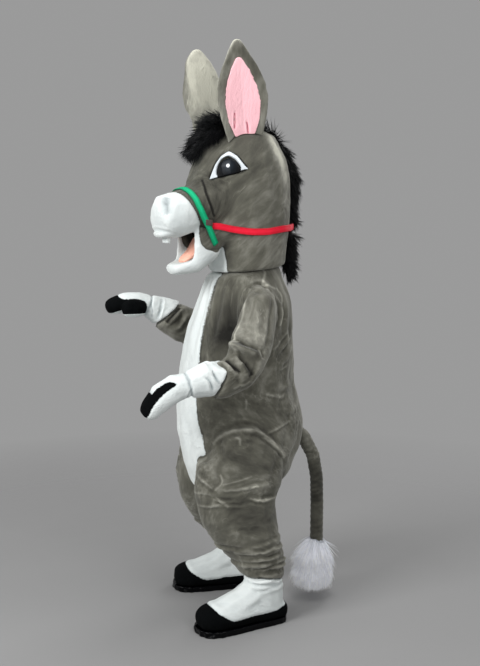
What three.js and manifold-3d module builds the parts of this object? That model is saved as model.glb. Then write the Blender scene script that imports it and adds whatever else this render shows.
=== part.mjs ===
// A walk-about donkey costume, shown standing on a filled display figure: grey plush body suit with a
// white front, a big soft head with an open mouth, hoof mitts, shoe covers, mane, bridle and tail.
// Millimetres, +Z up. The costume faces -Y, its left side is towards +X, and it stands on the floor, Z = 0.
import * as THREE from "three";
import { ConvexGeometry } from "three/addons/geometries/ConvexGeometry.js";
import { mergeVertices } from "three/addons/utils/BufferGeometryUtils.js";
import Module from "manifold-3d";

const wasm = await Module();
wasm.setup();

// ---------------------------------------------------------------- driving dimensions
const GAP = 0.4; // clearance between neighbouring pieces
const LEFT = new THREE.Vector3(1, 0, 0);
const UP = new THREE.Vector3(0, 0, 1);

const TOE_OUT = 8.6; // degrees that each shoe turns outwards
const HEEL_LEFT = 205; // from the middle plane to the centre of the heel
const HEEL_BACK = { left: 135, right: 152 }; // the right foot stands a little further back
const SHOE_LENGTH = 400;
const SOLE_THICK = 24;
const HEM_UP = 204; // height of the trouser hem at its middle
const HEM_SLOPE = 15; // degrees, higher in front

const HEAD_TURN = 16; // degrees that the head looks towards the costume's own left
const HEAD_AXIS = 20; // the head turns about an upright axis this far behind the middle

const EAR_HEIGHT = 389;
const EAR_HALF_WIDTH = 113;
const EAR_THICK = 12; // half thickness of the padded ear
// degrees that each ear's hollow turns from straight ahead towards its own side
const EAR_FACING = { left: 76, right: 92 };
const EAR_OUT = 6.2; // degrees that the ear leans outwards
const EAR_AHEAD = 9.4; // degrees that the ear leans forwards
const EAR_CUP = 0.0022; // curvature of the hollow, 1/mm

const EYE_FACING = 58; // degrees that the eye turns from straight ahead towards its own side
const EYE_THICK = 4;

const MUZZLE_TILT = 30; // degrees that the seam behind the muzzle leans from upright
const STRAP_WIDE = 27;
const STRAP_THICK = 7;
const TAB_THICK = 4;

// ---------------------------------------------------------------- small helpers
const at = (left, forward, up) => new THREE.Vector3(left, -forward, up);
const degrees = THREE.MathUtils.degToRad;
const outlineOf = (points) => new THREE.Shape(points.map(([x, y]) => new THREE.Vector2(x, y)));
// An outline that is the same on both sides of the middle, from its half widths at each height.
const bothHalves = (halves, grow = 0) => {
  const side = halves.map(([half, up]) => [half + grow, up]);
  return outlineOf([...side, ...side.map(([half, up]) => [-half, up]).reverse()]);
};
// An outline whose points are pushed away from a middle point.
const swollen = (points, middle, grow) =>
  new THREE.Shape(points.map(([x, y]) => {
    const away = new THREE.Vector2(x - middle[0], y - middle[1]);
    return away.setLength(away.length() + grow).add(new THREE.Vector2(...middle));
  }));
const mirrored = (stations) => stations.map((s) => ({ ...s, at: s.at.clone().setX(-s.at.x) }));
const SIDES = { left: 1, right: -1 };
const eachSide = (make) => Object.entries(SIDES).map(([name, side]) => make(name, side));

function solidOf(geometry) {
  const bare = new THREE.BufferGeometry().setAttribute("position", geometry.getAttribute("position"));
  bare.setIndex(geometry.getIndex());
  const merged = mergeVertices(bare, 1e-3);
  const triVerts = new Uint32Array(merged.index.array);
  return new wasm.Manifold(
    new wasm.Mesh({ numProp: 3, vertProperties: merged.attributes.position.array, triVerts }),
  );
}

function geometryOf(solid) {
  const mesh = solid.getMesh();
  const geometry = new THREE.BufferGeometry();
  geometry.setAttribute("position", new THREE.BufferAttribute(mesh.vertProperties.slice(), 3));
  geometry.setIndex(new THREE.BufferAttribute(mesh.triVerts.slice(), 1));
  geometry.computeVertexNormals();
  return geometry;
}

const joined = (...solids) => solids.reduce((whole, next) => whole.add(next));
const less = (solid, ...cutters) => cutters.reduce((rest, cutter) => rest.subtract(cutter), solid);
// The largest body of a cut solid, without the slivers that a cut may leave behind.
const largest = (solid) => solid.decompose().sort((a, b) => b.volume() - a.volume())[0];

const LONG_DOME = 40; // a dome longer than this gets a second ring
// A closed skin over oval rings strung along a smooth spine.
// A station is { at, wide, deep, square }: half sizes across and along the body, and how boxy the oval is.
// ends gives the length of the dome at each end, and grow swells the whole shape evenly.
function loft(stations, { sides = 18, steps = 3, ends = [0, 0], grow = 0, across = LEFT } = {}) {
  const spine = new THREE.CatmullRomCurve3(stations.map((s) => s.at), false, "catmullrom", 0.5);
  const sizes = new THREE.CatmullRomCurve3(
    stations.map((s) => new THREE.Vector3(s.wide, s.deep, s.square ?? 2.1)),
    false, "catmullrom", 0.5,
  );
  const count = (stations.length - 1) * steps;
  const rings = [];
  for (let i = 0; i <= count; i++) {
    const along = spine.getTangent(i / count).normalize();
    const size = sizes.getPoint(i / count);
    const side = across.clone().addScaledVector(along, -across.dot(along)).normalize();
    rings.push({
      centre: spine.getPoint(i / count), along, side, front: along.clone().cross(side),
      wide: size.x + grow, deep: size.y + grow, square: size.z,
    });
  }
  const dome = (ring, length, sign) => {
    const reach = Math.max(length + grow, 0.01);
    const domeSteps = length > LONG_DOME ? 2 : 1;
    return Array.from({ length: domeSteps }, (_, k) => {
      const turn = length ? ((k + 1) / (domeSteps + 1)) * (Math.PI / 2) : 0;
      const out = length ? reach * Math.sin(turn) : reach;
      const shrink = Math.cos(turn);
      return {
        ...ring, wide: ring.wide * shrink, deep: ring.deep * shrink,
        centre: ring.centre.clone().addScaledVector(ring.along, sign * out),
      };
    });
  };
  const first = rings[0];
  const last = rings[rings.length - 1];
  const head = dome(first, ends[0], -1).reverse();
  const tail = dome(last, ends[1], 1);
  const all = [...head, ...rings, ...tail];
  const tip = (ring, length, sign) =>
    ring.centre.clone().addScaledVector(ring.along, sign * Math.max(length + grow, 0.01));
  const positions = [];
  const rounded = (value, power) => Math.sign(value) * Math.abs(value) ** (2 / power);
  for (const ring of all) {
    for (let k = 0; k < sides; k++) {
      const turn = (k / sides) * 2 * Math.PI;
      const point = ring.centre.clone()
        .addScaledVector(ring.side, ring.wide * rounded(Math.cos(turn), ring.square))
        .addScaledVector(ring.front, ring.deep * rounded(Math.sin(turn), ring.square));
      positions.push(...point.toArray());
    }
  }
  positions.push(...tip(first, ends[0], -1).toArray(), ...tip(last, ends[1], 1).toArray());
  const start = all.length * sides;
  const index = [];
  for (let k = 0; k < sides; k++) {
    const next = (k + 1) % sides;
    index.push(start, next, k);
    index.push(start + 1, start - sides + k, start - sides + next);
    for (let r = 0; r < all.length - 1; r++) {
      const a = r * sides;
      index.push(a + k, a + next, a + sides + next, a + k, a + sides + next, a + sides + k);
    }
  }
  const geometry = new THREE.BufferGeometry();
  geometry.setAttribute("position", new THREE.Float32BufferAttribute(positions, 3));
  geometry.setIndex(index);
  return solidOf(geometry);
}

// An outline drawn in the (forward, up) plane, extruded from side to side about the middle plane.
function sidewaysPrism(outline, halfWidth, left = 0) {
  const geometry = new THREE.ExtrudeGeometry(outline, { depth: 2 * halfWidth, bevelEnabled: false });
  // shape x is forward (-Y), shape y is up, extrusion runs along X
  geometry.applyMatrix4(new THREE.Matrix4().makeBasis(at(0, 1, 0), UP, at(-1, 0, 0)));
  geometry.translate(left + halfWidth, 0, 0);
  return solidOf(geometry);
}

// An outline drawn in the (left, up) plane, extruded from near to far along Y.
function forwardPrism(outline, forwardFrom, forwardTo) {
  const depth = forwardTo - forwardFrom;
  const geometry = new THREE.ExtrudeGeometry(outline, { depth, bevelEnabled: false });
  geometry.applyMatrix4(new THREE.Matrix4().makeBasis(LEFT, UP, at(0, 1, 0)));
  geometry.translate(0, -forwardFrom, 0);
  return solidOf(geometry);
}

// Everything on one side of a plane, as a large block. normal points into the block.
function halfSpace(point, normal, gap = 0) {
  const SIZE = 3000;
  const block = new THREE.BoxGeometry(SIZE, SIZE, SIZE);
  block.translate(0, 0, SIZE / 2 + gap);
  block.applyQuaternion(new THREE.Quaternion().setFromUnitVectors(UP, normal.clone().normalize()));
  block.translate(point.x, point.y, point.z);
  return solidOf(block);
}

// Parts a solid by a thin cut on a plane: [the side that the normal points to, the other side].
function parted(solid, point, normal) {
  return [
    largest(solid.intersect(halfSpace(point, normal, GAP / 2))),
    largest(solid.intersect(halfSpace(point, normal.clone().negate(), GAP / 2))),
  ];
}

// ---------------------------------------------------------------- materials
const plush = (color, roughness = 0.95) =>
  new THREE.MeshStandardMaterial({ color, roughness, metalness: 0 });
const GREY_PLUSH = plush(0x5d5b54);
const WHITE_PLUSH = plush(0xe6e9e8);
const PINK_PLUSH = plush(0xf3bcc4);
const TONGUE_PLUSH = plush(0xe8a08c);
const BLACK_PLUSH = plush(0x0b0c0d);
const BLACK_FUR = plush(0x0a0b0e, 0.7);
const WHITE_FUR = plush(0xf1f3f7, 0.7);
const BLACK_MESH = plush(0x060606, 0.8);
const WHITE_FELT = plush(0xf4f6f8, 0.85);
const GREY_FELT = plush(0x3c3b38, 0.85);
const GREEN_BAND = plush(0x04935e, 0.6);
const RED_BAND = plush(0xe0142f, 0.6);
const EYE_WHITE = plush(0xf5f6fa, 0.35);
const EYE_DARK = plush(0x15181f, 0.25);
const PATENT = plush(0x050505, 0.12);

const costume = new THREE.Group();
function place(name, solid, material) {
  const mesh = new THREE.Mesh(geometryOf(solid), material);
  mesh.name = name;
  costume.add(mesh);
}
const placeOnHead = (name, solid, material) => place(name, onHead(solid), material);

// ---------------------------------------------------------------- trunk
const TRUNK_STATIONS = [
  { at: at(0, -50, 1500), wide: 112, deep: 114 },
  { at: at(0, -47, 1452), wide: 136, deep: 130 },
  { at: at(0, -29, 1386), wide: 186, deep: 187 },
  { at: at(0, -21, 1300), wide: 213, deep: 210 },
  { at: at(0, -1, 1190), wide: 222, deep: 227 },
  { at: at(0, 8, 1050), wide: 234, deep: 252 },
  { at: at(0, 4, 900), wide: 243, deep: 262 },
  { at: at(0, -4, 800), wide: 248, deep: 272 },
  { at: at(0, 3, 735), wide: 246, deep: 263 },
  { at: at(0, 15, 680), wide: 232, deep: 247 },
  { at: at(0, 30, 620), wide: 206, deep: 220 },
  { at: at(0, 38, 550), wide: 144, deep: 174 },
];
const trunkShape = (grow = 0) => loft(TRUNK_STATIONS, { sides: 18, steps: 1, ends: [0, 42], grow });

// half width of the white front panel at each height
const PANEL_HALVES = [
  [72, 1480], [80, 1400], [97, 1273], [126, 1101], [130, 931],
  [147, 824], [160, 718], [140, 620], [104, 540], [70, 481],
];
// and, in side view, how far back from the front it reaches
const PANEL_BACK = [
  [80, 1480], [118, 1400], [160, 1273], [192, 1101], [206, 931],
  [194, 824], [172, 718], [146, 620], [112, 540], [84, 480],
];
function panelPrism(grow = 0) {
  const ahead = PANEL_BACK.map(([forward, up]) => [forward - grow, up]);
  const side = sidewaysPrism(outlineOf([...ahead, [500, 480], [500, 1480]]), 200);
  return forwardPrism(bothHalves(PANEL_HALVES, grow), 0, 500).intersect(side);
}

// ---------------------------------------------------------------- legs
const LEG_STATIONS = [
  { at: at(156, 58, 820), wide: 114, deep: 112, square: 2.5 },
  { at: at(157, 42, 760), wide: 114, deep: 146, square: 2.4 },
  { at: at(160, 25, 700), wide: 112, deep: 161, square: 2.3 },
  { at: at(165, 46, 640), wide: 110, deep: 186, square: 2.2 },
  { at: at(172, 64, 570), wide: 110, deep: 180 },
  { at: at(184, 60, 490), wide: 107, deep: 162 },
  { at: at(196, 30, 410), wide: 99, deep: 140 },
  { at: at(203, -8, 335), wide: 94, deep: 116 },
  { at: at(208, -34, 262), wide: 92, deep: 102 },
  { at: at(210, -40, 200), wide: 84, deep: 90 },
  { at: at(210, -42, 150), wide: 70, deep: 78 },
];
const KNEE = at(180, 60, 500);
const KNEE_NORMAL = at(0, -0.12, 1);
const HEM = at(210, -40, HEM_UP);
const HEM_NORMAL = at(0, -Math.sin(degrees(HEM_SLOPE)), Math.cos(degrees(HEM_SLOPE)));
const legShape = (side, grow = 0) =>
  loft(side > 0 ? LEG_STATIONS : mirrored(LEG_STATIONS), { sides: 14, steps: 1, ends: [46, 0], grow });

// ---------------------------------------------------------------- shoes
// Shoe shapes are drawn with the heel at the origin and the toe straight ahead, then turned into place.
const SHOE_HALF_WIDTHS = [[6, 30], [30, 48], [80, 57], [150, 62], [250, 76], [320, 80], [368, 66], [392, 36]];
function soleSolid() {
  const FLANGE = 6;
  const SOLE_STEPS = 24;
  const side = SHOE_HALF_WIDTHS.map(([forward, half]) => new THREE.Vector2(half + FLANGE, forward));
  const heel = new THREE.Vector2(0, 0);
  const toe = new THREE.Vector2(0, SHOE_LENGTH);
  const otherSide = side.map((p) => new THREE.Vector2(-p.x, p.y)).reverse();
  const edge = new THREE.SplineCurve([heel, ...side, toe, ...otherSide, heel]);
  const outline = new THREE.Shape(edge.getPoints(SOLE_STEPS));
  const geometry = new THREE.ExtrudeGeometry(outline, { depth: SOLE_THICK, bevelEnabled: false });
  geometry.applyMatrix4(new THREE.Matrix4().makeBasis(LEFT, at(0, 1, 0), at(0, 0, -1)));
  geometry.translate(0, 0, SOLE_THICK);
  return solidOf(geometry);
}
const UPPER_STATIONS = [
  { at: at(0, 12, 44), wide: 50, deep: 40, square: 2.6 },
  { at: at(0, 70, 56), wide: 60, deep: 52, square: 2.6 },
  { at: at(0, 150, 62), wide: 65, deep: 60, square: 2.5 },
  { at: at(0, 240, 60), wide: 77, deep: 60, square: 2.4 },
  { at: at(0, 320, 58), wide: 79, deep: 60, square: 2.4 },
  { at: at(0, 362, 54), wide: 68, deep: 48, square: 2.4 },
];
const ANKLE_STATIONS = [
  { at: at(0, 98, 206), wide: 76, deep: 84 },
  { at: at(0, 98, 150), wide: 68, deep: 82 },
  { at: at(0, 96, 100), wide: 64, deep: 86 },
  { at: at(0, 88, 60), wide: 60, deep: 80 },
];
const INSTEP_STATIONS = [
  { at: at(0, 112, 150), wide: 60, deep: 66 },
  { at: at(0, 200, 104), wide: 66, deep: 56 },
  { at: at(0, 290, 74), wide: 70, deep: 50 },
];
const aboveSole = () => halfSpace(at(0, 0, SOLE_THICK + GAP), UP);
const shoeUpper = () => loft(UPPER_STATIONS, { sides: 12, steps: 1, ends: [14, 34] }).intersect(aboveSole());
const shoeBody = () =>
  joined(
    shoeUpper(),
    loft(ANKLE_STATIONS, { sides: 12, steps: 1 }),
    loft(INSTEP_STATIONS, { sides: 8, steps: 1, ends: [0, 24] }),
  ).intersect(aboveSole());
// Side view of the black vamp: high over the toe, low along the side, rising again behind the heel.
const VAMP_TOP = [
  [-60, 72], [0, 62], [54, 46], [130, 41], [200, 44], [264, 55], [320, 90], [352, 122], [460, 150],
];
function vampPrism(grow = 0) {
  const points = VAMP_TOP.map(([forward, up]) => [forward, up + grow]);
  return sidewaysPrism(outlineOf([...points, [460, -20], [-60, -20]]), 200);
}
const toFloor = (solid, name, side) =>
  solid.rotate([0, 0, side * TOE_OUT]).translate([side * HEEL_LEFT, HEEL_BACK[name], 0]);

// ---------------------------------------------------------------- arms
const ARMS = {
  left: {
    upper: [
      { at: at(160, -38, 1352), wide: 70, deep: 74 },
      { at: at(212, -28, 1322), wide: 72, deep: 80 },
      { at: at(262, 2, 1252), wide: 70, deep: 80 },
      { at: at(300, 44, 1180), wide: 70, deep: 86 },
      { at: at(318, 74, 1122), wide: 70, deep: 78 },
    ],
    lower: [
      { at: at(314, 46, 1140), wide: 68, deep: 70 },
      { at: at(322, 100, 1088), wide: 70, deep: 74 },
      { at: at(327, 170, 1056), wide: 68, deep: 72 },
      { at: at(330, 232, 1054), wide: 66, deep: 70 },
      { at: at(330, 304, 1036), wide: 55, deep: 52 },
    ],
    elbow: { point: at(312, 66, 1118), normal: at(0.05, 0.62, -0.78) },
    cuff: { point: at(327, 179, 1048), normal: at(0, 0.907, 0.42) },
    sleeve: { point: at(340, 250, 1134), normal: at(0.25, -0.31, 0.92) },
    hand: [
      { at: at(330, 300, 1036), wide: 50, deep: 47 },
      { at: at(328, 352, 1026), wide: 58, deep: 55 },
      { at: at(320, 406, 992), wide: 62, deep: 54 },
      { at: at(308, 450, 940), wide: 55, deep: 40 },
    ],
    // side view of the black hoof: the finger tips, and a prong that runs back along each side of the hand
    hoof: [
      [350, 1048], [368, 1058], [392, 1056], [432, 1030], [450, 1008], [454, 1032], [470, 1040], [560, 1010],
      [560, 860], [478, 880], [464, 924], [452, 954], [431, 987], [407, 1012], [382, 1031],
    ],
    thumb: [
      { at: at(292, 336, 1002), wide: 24, deep: 28 },
      { at: at(266, 370, 978), wide: 27, deep: 30 },
      { at: at(256, 400, 948), wide: 24, deep: 26 },
    ],
    thumbHoof: { point: at(262, 372, 966), normal: at(0, 0.6, 0.8) },
  },
  right: {
    upper: [
      { at: at(-160, -38, 1352), wide: 70, deep: 74 },
      { at: at(-212, -22, 1318), wide: 72, deep: 80 },
      { at: at(-260, 14, 1256), wide: 70, deep: 80 },
      { at: at(-288, 54, 1196), wide: 70, deep: 80 },
      { at: at(-298, 90, 1180), wide: 70, deep: 80 },
    ],
    lower: [
      { at: at(-292, 52, 1178), wide: 68, deep: 76 },
      { at: at(-299, 110, 1190), wide: 70, deep: 88 },
      { at: at(-300, 190, 1219), wide: 68, deep: 82 },
      { at: at(-300, 270, 1260), wide: 62, deep: 68 },
      { at: at(-300, 338, 1292), wide: 55, deep: 51 },
    ],
    elbow: { point: at(-294, 72, 1190), normal: at(0, 0.97, -0.24) },
    cuff: { point: at(-300, 256, 1254), normal: at(0, 0.62, 0.78) },
    sleeve: { point: at(-300, 200, 1420), normal: at(0, 0, 1) },
    hand: [
      { at: at(-300, 334, 1292), wide: 50, deep: 46 },
      { at: at(-300, 386, 1302), wide: 58, deep: 48 },
      { at: at(-298, 444, 1306), wide: 62, deep: 44 },
      { at: at(-294, 496, 1292), wide: 54, deep: 38 },
    ],
    hoof: [
      [366, 1308], [388, 1322], [424, 1326], [460, 1326], [472, 1334], [462, 1400], [600, 1400],
      [600, 1256], [508, 1256], [490, 1268], [450, 1282], [404, 1290],
    ],
    thumb: [
      { at: at(-258, 368, 1284), wide: 26, deep: 36 },
      { at: at(-234, 410, 1287), wide: 30, deep: 43 },
      { at: at(-226, 446, 1283), wide: 27, deep: 36 },
    ],
    thumbHoof: { point: at(-240, 400, 1255), normal: at(0, 0, 1) },
  },
};

// ---------------------------------------------------------------- head
const onHead = (solid) =>
  solid.translate([0, -HEAD_AXIS, 0]).rotate([0, 0, HEAD_TURN]).translate([0, HEAD_AXIS, 0]);

const CRANIUM_STATIONS = [
  { at: at(0, -28, 1446), wide: 164, deep: 154 },
  { at: at(0, -30, 1520), wide: 172, deep: 162 },
  { at: at(0, -36, 1620), wide: 182, deep: 166 },
  { at: at(0, -28, 1720), wide: 190, deep: 182 },
  { at: at(0, -16, 1820), wide: 190, deep: 194 },
  { at: at(0, -4, 1900), wide: 184, deep: 188 },
  { at: at(0, -2, 1962), wide: 166, deep: 162 },
];
const SNOUT_STATIONS = [
  { at: at(0, 68, 1772), wide: 146, deep: 128 },
  { at: at(0, 156, 1740), wide: 122, deep: 110 },
  { at: at(0, 226, 1712), wide: 106, deep: 94 },
  { at: at(0, 318, 1686), wide: 104, deep: 93, square: 2.3 },
  { at: at(0, 362, 1682), wide: 92, deep: 84, square: 2.3 },
];
const LIP_STATIONS = [
  { at: at(0, 312, 1622), wide: 62, deep: 28 },
  { at: at(0, 378, 1618), wide: 54, deep: 24 },
];
const BRIDGE_STATIONS = [
  { at: at(0, 56, 1960), wide: 114, deep: 98 },
  { at: at(0, 129, 1890), wide: 110, deep: 84 },
  { at: at(0, 182, 1800), wide: 98, deep: 62 },
  { at: at(0, 214, 1740), wide: 90, deep: 50 },
];
const CHEEK_STATIONS = [
  { at: at(0, -16, 1664), wide: 174, deep: 116 },
  { at: at(0, 74, 1646), wide: 150, deep: 104 },
  { at: at(0, 144, 1630), wide: 114, deep: 80 },
];
const headShape = (grow = 0) =>
  joined(
    loft(CRANIUM_STATIONS, { sides: 16, steps: 1, ends: [0, 88], grow }),
    loft(SNOUT_STATIONS, { sides: 14, steps: 1, ends: [0, 44], grow }),
    loft(BRIDGE_STATIONS, { sides: 10, steps: 1, ends: [0, 20], grow }),
    loft(CHEEK_STATIONS, { sides: 10, steps: 1, ends: [0, 50], grow }),
  );
// The white muzzle starts on a plane just ahead of the noseband.
const muzzleNormal = at(0, Math.cos(degrees(MUZZLE_TILT)), -Math.sin(degrees(MUZZLE_TILT)));
const MUZZLE_PLANE = at(0, 252, 1668);

// The head's lower hem rises towards the back.
const NECK_HEM = at(0, 110, 1453);
const neckNormal = at(0, 0.11, 1);
const aboveNeck = (gap = 0) => halfSpace(NECK_HEM, neckNormal, gap);

const JAW_STATIONS = [
  { at: at(0, 186, 1622), wide: 94, deep: 86, square: 4 },
  { at: at(0, 206, 1548), wide: 93, deep: 70, square: 3.6 },
  { at: at(0, 252, 1494), wide: 82, deep: 48, square: 2.5 },
  { at: at(0, 306, 1476), wide: 58, deep: 30 },
];
const jawShape = (grow = 0) => loft(JAW_STATIONS, { sides: 14, steps: 1, ends: [8, 34], grow });
// Inside this rounded side view the jaw is grey cheek and belongs to the head.
const CHEEK_OUTLINE = [
  [246, 1720], [242, 1664], [245, 1640], [246, 1618], [246, 1600], [239, 1572],
  [220, 1553], [200, 1546], [184, 1552], [60, 1552], [60, 1720],
];
const cheekPrism = (grow = 0) => sidewaysPrism(swollen(CHEEK_OUTLINE, [200, 1640], grow), 200);

const TONGUE_STATIONS = [
  { at: at(0, 202, 1588), wide: 40, deep: 17 },
  { at: at(0, 234, 1536), wide: 42, deep: 18 },
  { at: at(0, 270, 1510), wide: 34, deep: 14 },
];
const tongueShape = (grow = 0) => loft(TONGUE_STATIONS, { sides: 10, steps: 1, ends: [14, 22], grow });

// Side view of the open mouth: the roof, the black gauze at the back, and the hollow of the jaw.
const MOUTH_OUTLINE = [
  [460, 1592], [314, 1600], [240, 1630], [182, 1664], [164, 1600],
  [200, 1556], [252, 1508], [304, 1496], [460, 1474],
];
const MOUTH_HALF = 66;
const mouthPrism = () => sidewaysPrism(outlineOf(MOUTH_OUTLINE), MOUTH_HALF);
const GAUZE_OUTLINE = [[238, 1629], [184, 1662], [166, 1600], [186, 1576], [194, 1604], [206, 1634]];
const gauzeShape = () => sidewaysPrism(outlineOf(GAUZE_OUTLINE), MOUTH_HALF - GAP);
// one broad front tooth of felt
const TOOTH_OUTLINE = [[338, 1612], [360, 1612], [357, 1577], [345, 1574]];
const TOOTH_HALF = 21;
const toothShape = (grow = 0) =>
  sidewaysPrism(swollen(TOOTH_OUTLINE, [349, 1594], grow), TOOTH_HALF + grow);

// The white throat: half widths from the front, and in side view how far back the panel reaches.
const THROAT_HALVES = [[72, 1400], [74, 1500], [64, 1550], [40, 1584], [10, 1596]];
const THROAT_BACK = 88;
const throatPrism = (grow = 0) => forwardPrism(bothHalves(THROAT_HALVES, grow), THROAT_BACK - grow, 400);

// The forelock hangs between the ears, and the mane runs down the back of the head.
const FORELOCK_STATIONS = [
  { at: at(0, -50, 2036), wide: 60, deep: 32 },
  { at: at(0, 42, 2064), wide: 80, deep: 42 },
  { at: at(0, 130, 2040), wide: 90, deep: 46 },
  { at: at(0, 190, 1990), wide: 84, deep: 36 },
  { at: at(0, 220, 1944), wide: 54, deep: 18 },
];
const MANE_STATIONS = [
  { at: at(0, -68, 2032), wide: 48, deep: 26 },
  { at: at(0, -134, 2012), wide: 54, deep: 42 },
  { at: at(0, -198, 1938), wide: 56, deep: 48 },
  { at: at(0, -246, 1852), wide: 56, deep: 48 },
  { at: at(0, -238, 1731), wide: 56, deep: 42 },
  { at: at(0, -232, 1624), wide: 54, deep: 42 },
  { at: at(0, -236, 1538), wide: 52, deep: 48 },
  { at: at(0, -244, 1462), wide: 44, deep: 32 },
  { at: at(0, -248, 1434), wide: 34, deep: 18 },
];
const maneShape = (grow = 0) => loft(MANE_STATIONS, { sides: 10, steps: 1, ends: [14, 20], grow });

// ---------------------------------------------------------------- ears
// [height up the ear, half width there], both as a part of the whole
const EAR_OUTLINE = [
  [-0.07, 0.66], [0.18, 0.89], [0.37, 1], [0.52, 0.94], [0.7, 0.69], [0.86, 0.38], [0.95, 0.18],
];
const LINING_OUTLINE = [[0, 0.4], [0.16, 0.63], [0.34, 0.71], [0.5, 0.63], [0.66, 0.41], [0.77, 0.17]];
// A padded leaf that stands up from the origin, hollow towards -Y, and is bent round its own length.
function leaf(outline, { thick, forward = 0, sides = 10, grow = 0 }) {
  const stations = outline.map(([t, half]) => ({
    at: at(0, 0, t * EAR_HEIGHT), wide: half * EAR_HALF_WIDTH, deep: thick, square: 2.6,
  }));
  return loft(stations, { sides, steps: 1, ends: [4, 12], grow }).warp((point) => {
    point[1] -= forward + EAR_CUP * point[0] * point[0];
  });
}
const EAR_ROOT = at(112, 53, 2002);
const earLeaf = (grow = 0) => leaf(EAR_OUTLINE, { thick: EAR_THICK, grow });
const liningLeaf = (grow = 0) => leaf(LINING_OUTLINE, { thick: 4, forward: EAR_THICK - 2, sides: 8, grow });
const onEar = (solid, name, side) =>
  solid.rotate([0, 0, side * EAR_FACING[name]])
    .rotate([EAR_AHEAD, side * EAR_OUT, 0])
    .translate([side * EAR_ROOT.x, EAR_ROOT.y, EAR_ROOT.z]);

// ---------------------------------------------------------------- eyes
// Outlines in the eye's own plane: how far ahead of the head's axis, and how high.
const EYE_OUTLINE = [[127, 1825], [103, 1888], [79, 1922], [47, 1939], [11, 1921], [-12, 1893], [-31, 1869]];
const IRIS_OUTLINE = [[96, 1842], [91, 1878], [74, 1906], [47, 1917], [18, 1904], [-1, 1878], [-3, 1865]];
const EYE_MIDDLE = [47, 1872];
// A block with the eye's outline, from a flat back EYE_BACK away from the head's axis outwards.
const EYE_BACK = 150;
function eyePrism(outline, side, grow = 0) {
  const turned = sidewaysPrism(swollen(outline, EYE_MIDDLE, grow), 60, EYE_BACK + 60 - grow)
    .rotate([0, 0, EYE_FACING - 90]);
  return side > 0 ? turned : turned.mirror([1, 0, 0]);
}

// ---------------------------------------------------------------- bridle
// The smallest body without hollows that holds a solid.
function tightRound(solid) {
  const { vertProperties } = solid.getMesh();
  const points = [];
  for (let i = 0; i < vertProperties.length; i += 3) {
    points.push(new THREE.Vector3().fromArray(vertProperties, i));
  }
  return solidOf(new ConvexGeometry(points));
}
// A band round a body, between two amounts of swelling, cut to the strip where it runs.
const bandOn = (body, strip, inner, outer) => less(body(outer), body(inner)).intersect(strip);
// A strip that follows a line in side view.
function stripPrism(line, halfWidth) {
  const points = line.map(([forward, up]) => new THREE.Vector2(forward, up));
  const edge = (sign) => points.map((point, i) => {
    const before = points[Math.max(i - 1, 0)];
    const after = points[Math.min(i + 1, points.length - 1)];
    const along = after.clone().sub(before).normalize();
    return new THREE.Vector2(-along.y, along.x).multiplyScalar(sign * halfWidth).add(point);
  });
  return sidewaysPrism(new THREE.Shape([...edge(1), ...edge(-1).reverse()]), 300);
}
const HEAD_STRAP_LINE = [
  [222, 1664], [170, 1644], [135, 1633], [60, 1621], [-20, 1621], [-88, 1631], [-200, 1637], [-340, 1641],
];
const NOSEBAND_LINE = [[298, 1840], [280, 1784], [259, 1723], [239, 1682], [211, 1636], [177, 1570]];
// The straps lie on these bodies, and the head strap presses into the mane.
const MANE_PRESS = 20;
const underNoseband = (grow) =>
  tightRound(joined(headShape(grow), jawShape(grow)).intersect(stripPrism(NOSEBAND_LINE, STRAP_WIDE)));
const underHeadStrap = (grow) => {
  const body = joined(headShape(grow), maneShape(grow - MANE_PRESS));
  return tightRound(body.intersect(stripPrism(HEAD_STRAP_LINE, STRAP_WIDE)));
};
// a tab covers the place where the two straps meet
const TAB_OUTLINE = [[197, 1641], [232, 1645], [234, 1672], [199, 1671]];
const tabPrism = (side, grow = 0) => sidewaysPrism(swollen(TAB_OUTLINE, [215, 1657], grow), 100, side * 140);

// ---------------------------------------------------------------- tail
const TAIL_STATIONS = [
  { at: at(0, -236, 772), wide: 32, deep: 32 },
  { at: at(0, -290, 724), wide: 31, deep: 31 },
  { at: at(0, -334, 640), wide: 30, deep: 30 },
  { at: at(0, -352, 540), wide: 29, deep: 29 },
  { at: at(0, -355, 420), wide: 29, deep: 29 },
  { at: at(0, -354, 244), wide: 29, deep: 29 },
];
const tailShape = (grow = 0) => loft(TAIL_STATIONS, { sides: 10, steps: 1, ends: [0, 8], grow });
const TUFT_STATIONS = [
  { at: at(0, -353, 268), wide: 32, deep: 34 },
  { at: at(0, -346, 226), wide: 62, deep: 64 },
  { at: at(0, -338, 160), wide: 84, deep: 90 },
  { at: at(0, -342, 92), wide: 76, deep: 80 },
  { at: at(0, -350, 52), wide: 58, deep: 60 },
];

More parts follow.
